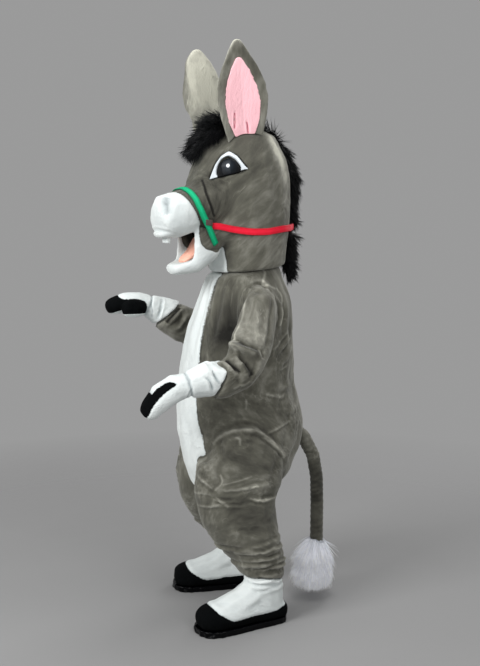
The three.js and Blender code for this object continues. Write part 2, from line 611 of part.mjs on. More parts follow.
// ---------------------------------------------------------------- building the head
function buildHead() {
  const mouth = mouthPrism();
  const lip = (grow) => loft(LIP_STATIONS, { sides: 10, steps: 1, ends: [0, 22], grow });
  const aheadOfSeam = (gap) => halfSpace(MUZZLE_PLANE, muzzleNormal, gap);
  const snout = (grow = 0) => joined(headShape(grow), lip(grow)).intersect(aheadOfSeam(GAP / 2 - grow));
  placeOnHead("muzzle", largest(less(snout(), mouth, toothShape(GAP))), WHITE_PLUSH);
  placeOnHead("teeth_upper", toothShape(), WHITE_FELT);

  const jaw = less(jawShape(), mouth, tongueShape(GAP), snout(GAP));
  placeOnHead("jaw", largest(less(jaw, cheekPrism(GAP))), WHITE_PLUSH);
  placeOnHead("tongue", tongueShape(), TONGUE_PLUSH);
  placeOnHead("mouth_gauze", largest(less(gauzeShape(), tongueShape(GAP))), BLACK_MESH);

  const back = headShape().intersect(halfSpace(MUZZLE_PLANE, muzzleNormal.clone().negate(), GAP / 2));
  const jawRoom = less(jawShape(GAP), cheekPrism());
  const sockets = eachSide((_, side) => eyePrism(EYE_OUTLINE, side, GAP));
  const whole = joined(back, jaw.intersect(cheekPrism())).intersect(aboveNeck());
  const hollows = [mouth, jawRoom, tongueShape(GAP), throatPrism(GAP), ...sockets];
  placeOnHead("head", largest(less(whole, ...hollows)), GREY_PLUSH);
  const throat = headShape().intersect(throatPrism()).intersect(aboveNeck());
  placeOnHead("throat_panel", largest(less(throat, jawShape(GAP))), WHITE_PLUSH);
}

function buildEyes() {
  eachSide((name, side) => {
    const patch = headShape(EYE_THICK).intersect(eyePrism(EYE_OUTLINE, side));
    const iris = eyePrism(IRIS_OUTLINE, side);
    placeOnHead("eye_" + name, less(patch, eyePrism(IRIS_OUTLINE, side, GAP)), EYE_WHITE);
    placeOnHead("iris_" + name, headShape(EYE_THICK + 2).intersect(iris), EYE_DARK);
  });
}

function buildHair() {
  const strapGroove = less(stripPrism(HEAD_STRAP_LINE, STRAP_WIDE / 2 + GAP), underHeadStrap(0));
  placeOnHead("mane", largest(less(maneShape(), headShape(GAP), strapGroove)), BLACK_FUR);
  const forelock = loft(FORELOCK_STATIONS, { sides: 10, steps: 1, ends: [20, 26] });
  const ears = eachSide((name, side) => onEar(earLeaf(GAP), name, side));
  placeOnHead("forelock", largest(less(forelock, headShape(GAP), maneShape(GAP), ...ears)), BLACK_FUR);
}

function buildEars() {
  eachSide((name, side) => {
    const ear = onEar(less(earLeaf(), liningLeaf(GAP)), name, side);
    placeOnHead("ear_" + name, largest(less(ear, headShape(GAP))), GREY_PLUSH);
    const lining = onEar(liningLeaf(), name, side);
    placeOnHead("ear_lining_" + name, largest(less(lining, headShape(GAP))), PINK_PLUSH);
  });
}

function buildBridle() {
  const band = stripPrism(NOSEBAND_LINE, STRAP_WIDE / 2);
  placeOnHead("noseband", largest(bandOn(underNoseband, band, GAP, STRAP_THICK)), GREEN_BAND);
  const headStrap = bandOn(underHeadStrap, stripPrism(HEAD_STRAP_LINE, STRAP_WIDE / 2), GAP, STRAP_THICK);
  const bandRoom = stripPrism(NOSEBAND_LINE, STRAP_WIDE / 2 + GAP);
  const tabRoom = eachSide((_, side) => tabPrism(side, GAP));
  placeOnHead("head_strap", largest(less(headStrap, bandRoom, ...tabRoom)), RED_BAND);
  eachSide((name, side) => {
    const tab = bandOn(underNoseband, tabPrism(side), STRAP_THICK + GAP, STRAP_THICK + TAB_THICK);
    placeOnHead("strap_tab_" + name, largest(tab), GREY_FELT);
  });
}

// ---------------------------------------------------------------- building the body
function buildTrunk() {
  const head = headShape(GAP).intersect(aboveNeck(-GAP));
  const neighbours = [onHead(head), ...eachSide((_, side) => legShape(side, GAP))];
  place("trunk", largest(less(trunkShape(), panelPrism(GAP), tailShape(GAP), ...neighbours)), GREY_PLUSH);
  place("belly_panel", largest(less(trunkShape().intersect(panelPrism()), ...neighbours)), WHITE_PLUSH);
}

function buildLegs() {
  eachSide((name, side) => {
    const ownSide = (v) => v.clone().setX(side * v.x);
    const aboveHem = halfSpace(ownSide(HEM), HEM_NORMAL, GAP);
    const ownHalf = halfSpace(at(0, 0, 0), at(side, 0, 0), GAP / 2);
    const leg = legShape(side).intersect(ownHalf).intersect(aboveHem);
    const [thigh, shank] = parted(leg, ownSide(KNEE), KNEE_NORMAL);
    place("thigh_" + name, thigh, GREY_PLUSH);
    place("shank_" + name, shank, GREY_PLUSH);

    const belowHem = halfSpace(ownSide(HEM), HEM_NORMAL.clone().negate());
    const gaiter = toFloor(less(shoeBody(), vampPrism(GAP)), name, side);
    place("gaiter_" + name, largest(gaiter.intersect(belowHem)), WHITE_PLUSH);
    place("shoe_" + name, largest(toFloor(shoeUpper().intersect(vampPrism()), name, side)), BLACK_PLUSH);
    place("sole_" + name, toFloor(soleSolid(), name, side), PATENT);
  });
}

function buildArms() {
  eachSide((name) => {
    const arm = ARMS[name];
    const tube = (stations, ends, sides, grow = 0) => loft(stations, { sides, steps: 1, ends, grow });
    const whole = less(joined(tube(arm.upper, [0, 30], 12), tube(arm.lower, [30, 0], 12)), trunkShape(GAP));
    const [forearmAndCuff, sleeve] = parted(whole, arm.elbow.point, arm.elbow.normal);
    // the cuff lies ahead of its own edge and below the edge of the sleeve
    const cuffRoom = (gap) => halfSpace(arm.cuff.point, arm.cuff.normal, gap)
      .intersect(halfSpace(arm.sleeve.point, arm.sleeve.normal.clone().negate(), gap));
    const cuff = forearmAndCuff.intersect(cuffRoom(GAP));
    const forearm = less(forearmAndCuff, cuffRoom(0));
    place("upper_arm_" + name, sleeve, GREY_PLUSH);
    place("forearm_" + name, largest(forearm), GREY_PLUSH);

    const mittShape = (grow = 0) => tube(arm.hand, [0, 34], 12, grow);
    const thumbShape = (grow = 0) => tube(arm.thumb, [10, 22], 8, grow);
    const hoofPrism = (grow = 0) => {
      const shape = new THREE.Shape(arm.hoof.map(([f, u]) => new THREE.Vector2(f, u)));
      return joined(...[[0, 0], [grow, 0], [-grow, 0], [0, grow], [0, -grow]].map(([f, u]) =>
        sidewaysPrism(shape, 500).translate([0, -f, u])));
    };
    place("cuff_" + name, largest(less(cuff, mittShape(GAP), thumbShape(GAP))), WHITE_PLUSH);
    place("mitt_" + name, largest(less(mittShape(), hoofPrism(GAP))), WHITE_PLUSH);
    place("hoof_" + name, largest(mittShape().intersect(hoofPrism())), BLACK_PLUSH);

    const thumb = less(thumbShape(), mittShape(GAP));
    const [nail, pad] = parted(thumb, arm.thumbHoof.point, arm.thumbHoof.normal);
    place("thumb_" + name, pad, WHITE_PLUSH);
    place("thumb_hoof_" + name, nail, BLACK_PLUSH);
  });
}

function buildTail() {
  const tuft = loft(TUFT_STATIONS, { sides: 12, steps: 1, ends: [6, 22] });
  place("tail", tailShape(), GREY_PLUSH);
  place("tail_tuft", largest(less(tuft, tailShape(GAP))), WHITE_FUR);
}

buildHead();
buildEyes();
buildHair();
buildEars();
buildBridle();
buildTrunk();
buildLegs();
buildArms();
buildTail();

// Stand the costume on the origin, centred under its own outline.
const outline = new THREE.Box3().setFromObject(costume);
const middle = outline.getCenter(new THREE.Vector3());
costume.children.forEach((mesh) => mesh.geometry.translate(-middle.x, -middle.y, -outline.min.z));

export default costume;
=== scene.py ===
# %% [markdown]
# # A walk-about donkey costume
# The object is a plush suit with a big soft head, mitts and shoe covers, shown standing on a filled
# display figure. The solid model gives every piece its place and its size; this file sews the looks
# over it. We load the solids first, and then make one finish or one piece per step.

# %% Load the solid model
import math

import bmesh
import bpy
import numpy as np
from mathutils import Matrix, Vector, noise
from mathutils.bvhtree import BVHTree


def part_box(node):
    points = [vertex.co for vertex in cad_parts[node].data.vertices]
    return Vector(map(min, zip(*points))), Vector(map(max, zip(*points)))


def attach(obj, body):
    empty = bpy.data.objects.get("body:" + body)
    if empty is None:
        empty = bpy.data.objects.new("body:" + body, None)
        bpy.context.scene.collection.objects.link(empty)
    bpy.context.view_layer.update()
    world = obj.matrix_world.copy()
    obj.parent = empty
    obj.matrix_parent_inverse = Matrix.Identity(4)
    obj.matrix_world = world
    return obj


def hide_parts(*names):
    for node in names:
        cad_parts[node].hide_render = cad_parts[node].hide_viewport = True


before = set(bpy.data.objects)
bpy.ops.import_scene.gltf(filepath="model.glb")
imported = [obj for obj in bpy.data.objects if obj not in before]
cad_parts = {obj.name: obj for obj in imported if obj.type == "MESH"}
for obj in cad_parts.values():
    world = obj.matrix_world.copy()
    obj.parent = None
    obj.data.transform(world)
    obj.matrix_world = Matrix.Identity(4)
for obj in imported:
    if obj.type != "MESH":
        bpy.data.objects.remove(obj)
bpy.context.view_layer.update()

scene = bpy.context.scene
noise.seed_set(7)  # the folds waver and the fur clumps in the same way in every run

# %% [markdown]
# ## The maker's drawing
# Costume makers measure from the middle of the body: so far to its left, so far ahead, so far up, in
# millimetres. The solid model is shifted so that it stands centred on the floor, so we read the shift
# back from the tail, which lies on the middle plane. The head looks a little to its left, so points on
# the head are drawn facing ahead and then turned with it.

# %% Points in the maker's drawing
TAIL_REACH = 382.6  # how far behind the middle the tail goes, in millimetres
HEAD_TURN = math.radians(16)
HEAD_AXIS = 20  # the head turns about an upright line this far behind the middle, in millimetres
tail_low, tail_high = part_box("tail")
SHIFT = Vector(((tail_low.x + tail_high.x) / 2, tail_high.y - TAIL_REACH / 1000, 0))


def spot(left, forward, up):
    return Vector((left, -forward, up)) / 1000 + SHIFT


def head_spot(left, forward, up):
    turned = Matrix.Rotation(HEAD_TURN, 3, "Z") @ Vector((left, -forward - HEAD_AXIS, up))
    return (turned + Vector((0, HEAD_AXIS, 0))) / 1000 + SHIFT


def mirrored(corners):
    return [(-left, forward, up) for left, forward, up in corners]


print("shift of the drawing", SHIFT)

# %% [markdown]
# ## The camera
# It looks at the costume's left side from a little ahead, from eye height, with a lens of about 53 mm.

# %% Camera
CAMERA_PLACE = spot(4004, 1148, 1680)
CAMERA_TURN = math.radians(74)  # from straight ahead of the costume towards its left
CAMERA_DOWN = math.radians(6.7)
camera = bpy.data.objects.new("camera", bpy.data.cameras.new("camera"))
scene.collection.objects.link(camera)
camera.data.lens = 53.4
camera.data.sensor_width = 36
camera.data.clip_end = 60
camera.location = CAMERA_PLACE
looking = Vector((
    -math.sin(CAMERA_TURN) * math.cos(CAMERA_DOWN),
    math.cos(CAMERA_TURN) * math.cos(CAMERA_DOWN),
    -math.sin(CAMERA_DOWN),
))
camera.rotation_euler = looking.to_track_quat("-Z", "Y").to_euler()
scene.camera = camera
scene.view_settings.view_transform = "Standard"

# %% [markdown]
# ## Node words
# Node trees read badly as long lists of links. A small class holds one socket and lets ordinary
# arithmetic add the Math nodes. A second one holds a tree and adds any other node in one call. Materials
# and Geometry Nodes recipes are both built with it.

# %% A socket that does arithmetic
class Socket:
    def __init__(self, tree, socket):
        self.tree, self.socket = tree, socket

    def _math(self, operation, *values):
        return self.tree.node("ShaderNodeMath", {"operation": operation}, *values)

    def __add__(self, other):
        return self._math("ADD", self, other)

    def __sub__(self, other):
        return self._math("SUBTRACT", self, other)

    def __rsub__(self, other):
        return self._math("SUBTRACT", other, self)

    def __mul__(self, other):
        return self._math("MULTIPLY", self, other)

    def __truediv__(self, other):
        return self._math("DIVIDE", self, other)

    __radd__, __rmul__ = __add__, __mul__

    def clamped(self):
        return self.tree.node("ShaderNodeMath", {"operation": "ADD", "use_clamp": True}, self, 0.0)

    def size(self):
        return self._math("ABSOLUTE", self)


# %% A tree and its nodes
def paint(code):
    """A colour code as linear light, which is what shaders work in."""
    parts = [int(code[i:i + 2], 16) / 255 for i in (1, 3, 5)]
    return tuple(((p + 0.055) / 1.055) ** 2.4 if p > 0.04045 else p / 12.92 for p in parts) + (1,)


class Nodes:
    def __init__(self, tree):
        self.tree = tree

    def node(self, kind, settings, *values, output=0, **named):
        made = self.tree.nodes.new(kind)
        for key, value in settings.items():
            if key == "stops":
                self._stops(made.color_ramp, value)
            else:
                setattr(made, key, value)
        pairs = list(enumerate(values)) + [(k.replace("_", " "), v) for k, v in named.items()]
        for key, value in pairs:
            self._plug(made.inputs[key], value)
        return Socket(self, made.outputs[output])

    def _plug(self, socket, value):
        if isinstance(value, Socket):
            self.tree.links.new(value.socket, socket)
        else:
            socket.default_value = value

    @staticmethod
    def _stops(ramp, stops):
        while len(ramp.elements) < len(stops):
            ramp.elements.new(0.5)
        for element, (place, code) in zip(ramp.elements, stops):
            element.position, element.color = place, paint(code)


# %% A material
class Finish(Nodes):
    def __init__(self, name, **constants):
        self.material = bpy.data.materials.new(name)
        self.material.use_nodes = True
        super().__init__(self.material.node_tree)
        self.shader = self.tree.nodes["Principled BSDF"]
        for socket, value in constants.items():
            self.shader.inputs[socket.replace("_", " ")].default_value = value

    def place(self):
        return self.node("ShaderNodeTexCoord", {}, output="Object")

    def attribute(self, name, output="Fac"):
        return self.node("ShaderNodeAttribute", {"attribute_name": name}, output=output)

    def wandering(self, vector, scale, amount):
        """The same place, pushed about by a slow noise, so that a pattern on it bends."""
        push = self.node("ShaderNodeTexNoise", {}, Vector=vector, Scale=scale, output="Color")
        return self.node("ShaderNodeVectorMath", {"operation": "MULTIPLY_ADD"}, push, (amount,) * 3, vector)

    def noise(self, vector, scale, detail=2.0, roughness=0.5):
        return self.node("ShaderNodeTexNoise", {}, Vector=vector, Scale=scale, Detail=detail,
                         Roughness=roughness)

    def ramp(self, value, *stops):
        """Each stop is a place on the ramp and a colour code."""
        return self.node("ShaderNodeValToRGB", {"stops": stops}, value)

    def mix(self, factor, first, second):
        made = self.tree.nodes.new("ShaderNodeMix")
        made.data_type = "RGBA"
        for index, value in ((0, factor), (6, first), (7, second)):
            self._plug(made.inputs[index], value)
        return Socket(self, made.outputs[2])

    def bump(self, height, strength, distance):
        normal = self.node("ShaderNodeBump", {}, Height=height, Strength=strength, Distance=distance)
        self.use(Normal=normal)

    def use(self, **sockets):
        for name, value in sockets.items():
            self._plug(self.shader.inputs[name.replace("_", " ")], value)


def speckled(name, scale, *stops, **constants):
    """A finish whose colour wanders between a few near tones."""
    finish = Finish(name, **constants)
    finish.use(Base_Color=finish.ramp(finish.noise(finish.place(), scale), *stops))
    return finish


# %% [markdown]
# ## Plush
# Plush is a knitted cloth with a short dense pile. Where the pile is brushed away from us we look onto
# the tips and it is pale; where it is brushed towards us we look into it and it is dark. So one number,
# the lift of the nap, runs through a ramp of greys. The same number also carries painted light: it is a
# little higher on crests, a painted highlight, and lower in valleys, painted shade. It wanders in soft
# patches and long strokes, and thin pale lines show where the pile has parted.
# The strokes follow an attribute, "nap", that each piece gets with its own brushing directions.

# %% Colours of the nap
GREY_NAP = [(0.0, "#1b1a17"), (0.25, "#3b3a34"), (0.5, "#5a5950"), (0.75, "#84837a"), (1.0, "#bab9ab")]
WHITE_NAP = [(0.0, "#6d7579"), (0.3, "#b4bcbd"), (0.6, "#d9dfde"), (1.0, "#eef2f0")]
BLACK_NAP = [(0.0, "#010101"), (0.5, "#030404"), (1.0, "#0e1012")]
PINK_NAP = [(0.0, "#a02a48"), (0.3, "#e79aa6"), (0.6, "#fcc3cb"), (1.0, "#ffdade")]
SKIN_NAP = [(0.0, "#9a5a4b"), (0.35, "#e69c86"), (0.7, "#fbbfa9"), (1.0, "#ffd2c0")]
SEAM_SHARP = 1 / 0.002  # a colour changes within two millimetres
RAGGED = 0.009  # the pile makes the line between two colours waver by a few millimetres
PATCHY, STROKED, FINE, PARTED = 0.26, 0.38, 0.16, 0.12  # how much each pattern lifts the nap
CREST_PAINTED_LIGHT = 0.16  # how much a crest is painted paler, a painted highlight, and a valley darker, painted shade
OTHER_STREAK, OTHER_BASE = 0.45, 0.62  # the second colour's nap is calmer and paler


# %% The plush finish
def plush(name, nap, other=None, side=None, streak=1.0, sheen=0.3, base=0.5, fuzz=1.0, gloss=0.2):
    finish = Finish(name, Roughness=0.94, Sheen_Weight=sheen, Sheen_Roughness=0.5,
                    Sheen_Tint=(0.88, 0.88, 0.82, 1), Specular_IOR_Level=gloss)
    along_nap = finish.attribute("nap", "Vector")
    bent = finish.wandering(along_nap, 5.0, 0.10)
    patches = ((finish.noise(bent, 7.5, 3.0, 0.55) - 0.5) * 3.0 + 0.5).clamped() - 0.5
    strokes = finish.noise(bent, 30.0, 4.0, 0.6) - 0.5
    fine = finish.noise(bent, 110.0) - 0.5
    parting = finish.noise(finish.wandering(along_nap, 16.0, 0.05), 13.0, 3.0, 0.6) - 0.5
    where_parted = ((finish.noise(finish.place(), 9.0, 1.0) - 0.54) * 9.0).clamped()
    parted = (1 - parting.size() * 36.0).clamped() * where_parted
    wander = (patches * PATCHY + strokes * STROKED + fine * FINE + parted * PARTED) * streak
    # Painted highlight on crests and painted shade in valleys; each piece's own marks add brushed nap, dark
    # seams, and more painted light and shade.
    shape = finish.attribute("crest") * CREST_PAINTED_LIGHT
    colour = finish.ramp(wander + shape + finish.attribute("brushed") + base, *nap)
    if other:
        ragged = (finish.noise(finish.place(), 130.0, 3.0, 0.7) - 0.5) * RAGGED
        mask = ((finish.attribute(side) + ragged) * SEAM_SHARP).clamped()
        lift = wander * OTHER_STREAK + shape + finish.attribute("brushed") + OTHER_BASE
        colour = finish.mix(mask, colour, finish.ramp(lift, *other))
    pile = finish.noise(finish.place(), 620.0, 2.0, 0.6)
    tufts = finish.noise(finish.wandering(finish.place(), 60.0, 0.01), 150.0, 3.0, 0.6)
    finish.use(Base_Color=colour)
    finish.bump(pile * 0.6 + tufts * fuzz + strokes * 2.4 + fine * 1.4 + parted * 1.2, 0.6, 0.0018)
    return finish.material


suit_plush = plush("grey plush with white", GREY_NAP, WHITE_NAP, "white_side")
mitt_plush = plush("white plush with black", WHITE_NAP, BLACK_NAP, "black_side", streak=0.45, sheen=0.0,
                   base=0.6, fuzz=2.0, gloss=0.05)
ear_pink = plush("pink plush", PINK_NAP, streak=0.22, sheen=0.1, base=0.58)
tongue_fleece = plush("tongue fleece", SKIN_NAP, streak=0.25, sheen=0.1, base=0.62)
tooth_felt = plush("white felt", WHITE_NAP, streak=0.2, sheen=0.1, base=0.62)

# %% [markdown]
# ## Points, edges and smoothing
# Most of the work below is done on arrays of points. A solid's facets go when each point moves to the
# mean of its neighbours many times over. That also shrinks the shape, so the slow part of the loss, which
# is the shrinking, is given back afterwards, and the quick part, which is the facets, is not.

# %% Mesh helpers
def points_of(obj):
    flat = np.empty(len(obj.data.vertices) * 3)
    obj.data.vertices.foreach_get("co", flat)
    return flat.reshape(-1, 3)


def move_to(obj, points):
    obj.data.vertices.foreach_set("co", points.ravel())
    obj.data.update()


def normals_of(obj):
    flat = np.empty(len(obj.data.vertices) * 3)
    obj.data.vertex_normals.foreach_get("vector", flat)
    return flat.reshape(-1, 3)


def edges_of(obj):
    flat = np.empty(len(obj.data.edges) * 2, int)
    obj.data.edges.foreach_get("vertices", flat)
    return flat.reshape(-1, 2)


# %% Numbers that fall off, rise or wander
def bell(gaps, width):
    """1 where the gap is nothing, falling off over a width."""
    return np.exp(-(gaps / width) ** 2)


def rising(values, start, over):
    """0 up to a start, and 1 from a little over it."""
    return np.clip((values - start) / over, 0, 1)


def unit(rows):
    """Directions of length 1."""
    return rows / np.maximum(np.linalg.norm(rows, axis=1), 1e-6)[:, None]


def uneven(points, scale, noise_at=noise.noise):
    """Slow noise at each point: a number, or with noise.noise_vector a direction."""
    return np.array([noise_at(Vector(point) * scale) for point in points])


# %% Smoothing
def averaged(values, edges, rounds):
    """Each point's value moves half-way to the mean of its neighbours, so many times."""
    count = len(values)
    wide = values.reshape(count, -1)
    ends, others = np.concatenate([edges, edges[:, ::-1]]).T
    order = np.argsort(ends, kind="stable")
    others = others[order]
    degree = np.bincount(ends, minlength=count)
    starts = np.concatenate([[0], np.cumsum(degree)[:-1]])
    for _ in range(rounds):
        mean = np.add.reduceat(wide[others], starts, axis=0) / degree[:, None]
        wide = 0.5 * (wide + mean)
    return wide.reshape(values.shape)


def rounded(obj, rounds, where=None):
    """Smooths the whole object, or only as much as where says at each point."""
    points, edges = points_of(obj), edges_of(obj)
    smooth = averaged(points, edges, rounds)
    smooth += averaged(points - smooth, edges, rounds)
    move_to(obj, smooth if where is None else points + (smooth - points) * where[:, None])
    return obj


def own_ways(points):
    """The directions in which a piece is longest, narrower and thinnest."""
    return np.linalg.svd(points - points.mean(0), full_matrices=False)[2]


def outline_rounded(obj, rounds, where=None):
    """Smooths the outline of a flat piece and leaves its thickness alone."""
    before = points_of(obj)
    thin = own_ways(before)[2]
    moved = points_of(rounded(obj, rounds, where)) - before
    move_to(obj, before + moved - 0.9 * (moved @ thin)[:, None] * thin)
    return obj


def filled_in(obj, rounds, where):
    """Evens out a hollow, such as the one behind an arm, where cloth would span it."""
    points = points_of(obj)
    move_to(obj, points + (averaged(points, edges_of(obj), rounds) - points) * where[:, None])


# %% Soft round marks
def near_to(points, where, width):
    return bell(np.linalg.norm(points - np.array(where), axis=1), width)


def soft_marks(rows, place=spot):
    """Marks from rows of left, forward, up and width in millimetres, and how much."""
    return [(place(left, forward, up), width / 1000, amount) for left, forward, up, width, amount in rows]


def both_sides(rows):
    """Rows that start with how far to the left they are, and the same rows for the right."""
    return [(side * left, *rest) for side in (1, -1) for left, *rest in rows]


def marked(obj, marks):
    """The sum of some marks at each point."""
    points = points_of(obj)
    total = np.zeros(len(points))
    for where, width, amount in marks:
        total += amount * near_to(points, where, width)
    return total


def nearness(obj, marks):
    """How near each point is to any of some marks, from 0 to 1."""
    return np.clip(marked(obj, marks), 0, 1)


# %% Making new meshes from the solids
def applied(obj):
    """Turns what the modifiers make into the object's own mesh."""
    seen = obj.evaluated_get(bpy.context.evaluated_depsgraph_get())
    mesh = bpy.data.meshes.new_from_object(seen)
    mesh.name = obj.name
    obj.modifiers.clear()
    obj.data = mesh
    return obj


def linked(name, data):
    obj = bpy.data.objects.new(name, data)
    scene.collection.objects.link(obj)
    return obj


def mesh_from(shape, name):
    mesh = bpy.data.meshes.new(name)
    shape.to_mesh(mesh)
    shape.free()
    return mesh


def joined_solids(name, nodes):
    shape = bmesh.new()
    for node in nodes:
        shape.from_mesh(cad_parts[node].data)
    bmesh.ops.remove_doubles(shape, verts=shape.verts, dist=1e-5)
    return linked(name, mesh_from(shape, name))


def main_body_only(obj):
    """Drops small closed bubbles that a remesh may leave inside."""
    shape = bmesh.new()
    shape.from_mesh(obj.data)
    left = set(shape.verts)
    bodies = []
    while left:
        stack = [left.pop()]
        body = set(stack)
        while stack:
            for edge in stack.pop().link_edges:
                for vertex in edge.verts:
                    if vertex in left:
                        left.discard(vertex)
                        body.add(vertex)
                        stack.append(vertex)
        bodies.append(body)
    bodies.sort(key=len)
    extra = [v for body in bodies[:-1] for v in body]
    if extra:
        bmesh.ops.delete(shape, geom=extra, context="VERTS")
        shape.to_mesh(obj.data)
    shape.free()
    return obj


def skin(name, nodes, voxel, rounds):
    """One closed skin over several solids. Voxels of that size, in metres, set its finest detail, and it is
    smoothed so many rounds."""
    obj = joined_solids(name, nodes)
    remesh = obj.modifiers.new("one skin", "REMESH")
    remesh.mode = "VOXEL"
    remesh.voxel_size = voxel
    return rounded(main_body_only(applied(obj)), rounds)


def finer(obj):
    rounder = obj.modifiers.new("rounder", "SUBSURF")
    rounder.levels = rounder.render_levels = 1
    applied(obj)


# %% [markdown]
# ## Marks on the cloth
# The finishes read a few numbers that each mesh carries: how far a point stands out, which side of a
# seam it is on, how the nap was brushed there and in which direction, and where light and shade are
# painted on.

# %% Attributes
def mark(obj, name, values):
    values = np.asarray(values, np.float32)
    kind, field = ("FLOAT", "value") if values.ndim == 1 else ("FLOAT_VECTOR", "vector")
    layer = obj.data.attributes.new(name, kind, "POINT")
    layer.data.foreach_set(field, values.ravel())


def crests(obj, full=0.004):
    """How far each point stands out of its surroundings: 1 on a crest, -1 in a valley. The plush finishes
    paint a highlight on crests and shade in valleys from it.
    """
    points = points_of(obj)
    out = ((points - averaged(points, edges_of(obj), 14)) * normals_of(obj)).sum(1)
    mark(obj, "crest", np.clip(out / full, -1, 1))


def comb(obj, brushings=(), way=(0, 0, 1), squeeze=0.3):
    """Coordinates for the nap, squeezed along the brushing so that strokes come out long.

    A brushing is (where, how wide, direction); elsewhere the nap lies along way."""
    points = points_of(obj)
    total, weight = np.zeros_like(points), np.zeros(len(points))
    everywhere = ((0, 0, 1), 1e3, way, 0.1)  # wide enough for every point, and weaker than the others
    for where, width, direction, share in [everywhere, *((*brushing, 1) for brushing in brushings)]:
        where, direction = np.array(where), np.array(Vector(direction).normalized())
        offset = points - where
        near = near_to(points, where, width) * share
        pressed = offset - (1 - squeeze) * (offset @ direction)[:, None] * direction + where
        total += near[:, None] * pressed
        weight += near
    mark(obj, "nap", total / weight[:, None])


def brushed(obj, marks=(), seams=()):
    """Nap paler or darker in soft round marks, some from the brushing of the pile and some painted light and
    shade, and darker or paler along lines: dark seams, and creases, ridges and edges with painted shade or
    a painted highlight.
    """
    total = marked(obj, marks)
    for line, width, amount in seams:
        total -= amount * bell(line, width)
    mark(obj, "brushed", total)


def all_grey(obj):
    """The suit's plush with no white side."""
    mark(obj, "white_side", np.full(len(obj.data.vertices), -1.0))


def plain_pile(obj):
    """Pile with no marks of its own; its only painted light and shade is on its crests and in its valleys."""
    comb(obj)
    brushed(obj)
    crests(obj)


# %% Where solids meet
def tree_of(nodes):
    points, faces = [], []
    for node in nodes:
        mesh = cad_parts[node].data
        start = len(points)
        points += [v.co[:] for v in mesh.vertices]
        faces += [[start + i for i in polygon.vertices] for polygon in mesh.polygons]
    return BVHTree.FromPolygons(points, faces)


def reach(points, nodes):
    """The distance from each point to the nearest of some solids."""
    tree = tree_of(nodes)
    return np.array([tree.find_nearest(p)[3] for p in points])


def between(obj, first, second, rounds):
    """Zero on the line where two groups of solids meet, growing on the side of the second."""
    points = points_of(obj)
    return averaged(reach(points, first) - reach(points, second), edges_of(obj), rounds)


def sink(obj, line, depth, width):
    """A soft furrow where the values of line are zero."""
    points = points_of(obj)
    move_to(obj, points - normals_of(obj) * (depth * bell(line, width))[:, None])


# %% Folds
LINE_STEP = 0.004  # the gap between the points of a line, in metres


def smooth_line(corners):
    """A smooth line through a few corners, as closely set points."""
    corners = [Vector(c) for c in corners]
    ends = [2 * corners[0] - corners[1], *corners, 2 * corners[-1] - corners[-2]]
    made = []
    for a, b, c, d in zip(ends, ends[1:], ends[2:], ends[3:]):
        count = max(int((c - b).length / LINE_STEP), 1)
        for i in range(count):
            t = i / count
            made.append(0.5 * (2 * b + (c - a) * t + (2 * a - 5 * b + 4 * c - d) * t * t
                               + (3 * b - a - 3 * c + d) * t ** 3))
    return np.array([*made, corners[-1]])


def line_gaps(obj, line, room):
    """For the points near a line: which they are, the signed gap to it, and how far along they are.

    The line is laid on the skin first, because the skin may have moved since the line was measured."""
    points = points_of(obj)
    near = np.where(((points > line.min(0) - room) & (points < line.max(0) + room)).all(1))[0]
    if len(near) == 0:
        return near, np.zeros(0), np.zeros(0)
    line = points[near][np.linalg.norm(points[near, None] - line[None], axis=2).argmin(0)]
    for _ in range(4):
        line[1:-1] = (line[:-2] + 2 * line[1:-1] + line[2:]) / 4
    offsets = points[near, None] - line[None]
    gaps = np.linalg.norm(offsets, axis=2)
    nearest = gaps.argmin(1)
    ways = np.gradient(line, axis=0)
    across = np.cross(normals_of(obj)[near], ways[nearest])
    side = np.sign((offsets[np.arange(len(near)), nearest] * across).sum(1))
    return near, gaps.min(1) * side, nearest / (len(line) - 1)


def fold(obj, corners, height, width, under=0.0, below=1, place=spot, wobble=0.003):
    """Raises the cloth along a line, or sinks it where height is negative; both sizes are in millimetres.
    Cloth that hangs over itself also has an undercut beside the ridge, below it or above it when the line
    runs from front to back."""
    height, width = height / 1000, width / 1000
    line = smooth_line([place(*corner) for corner in corners])
    line += wobble * uneven(line, 22, noise.noise_vector)
    near, gap, along = line_gaps(obj, line, width * 4)
    fade = np.sin(np.pi * np.clip(along, 0.03, 0.97)) ** 0.6
    varied = 1 + 0.5 * uneven(line[(along * (len(line) - 1)).astype(int)], 30)
    rise = bell(gap, width) - under * bell(gap * below + 1.5 * width, 0.8 * width)
    points = points_of(obj)
    points[near] += normals_of(obj)[near] * (height * rise * fade * varied)[:, None]
    move_to(obj, points)


def mirrored_folds(rows, share=1):
    """The same folds on the other side, where they may be lower."""
    return [(mirrored(corners), share * height, width, under, -below)
            for corners, height, width, under, below in rows]


def crease_gaps(obj, lines, room=0.03, place=spot):
    """How far each point is from the nearest of some lines; a metre where none is near."""
    gaps = np.full(len(obj.data.vertices), 1.0)
    for corners in lines:
        near, gap, along = line_gaps(obj, smooth_line([place(*corner) for corner in corners]), room)
        inside = (along > 0.01) & (along < 0.99)
        gaps[near[inside]] = np.minimum(gaps[near[inside]], np.abs(gap[inside]))
    return gaps


def pulled(obj, pulls):
    """Pulls the skin at some places, as with a soft brush: where, how wide, and by how much."""
    before = points_of(obj)
    after = before.copy()
    for where, width, by in pulls:
        after += near_to(before, where, width)[:, None] * np.array(by)
    move_to(obj, after)


def rumpled(obj, amount, scale, where=None):
    """Uneven swelling, as of a filling that isn't quite even: how much, in metres, and how fine."""
    points = points_of(obj)
    push = uneven(points, scale)
    if where is not None:
        push *= where
    move_to(obj, points + normals_of(obj) * (amount * push)[:, None])


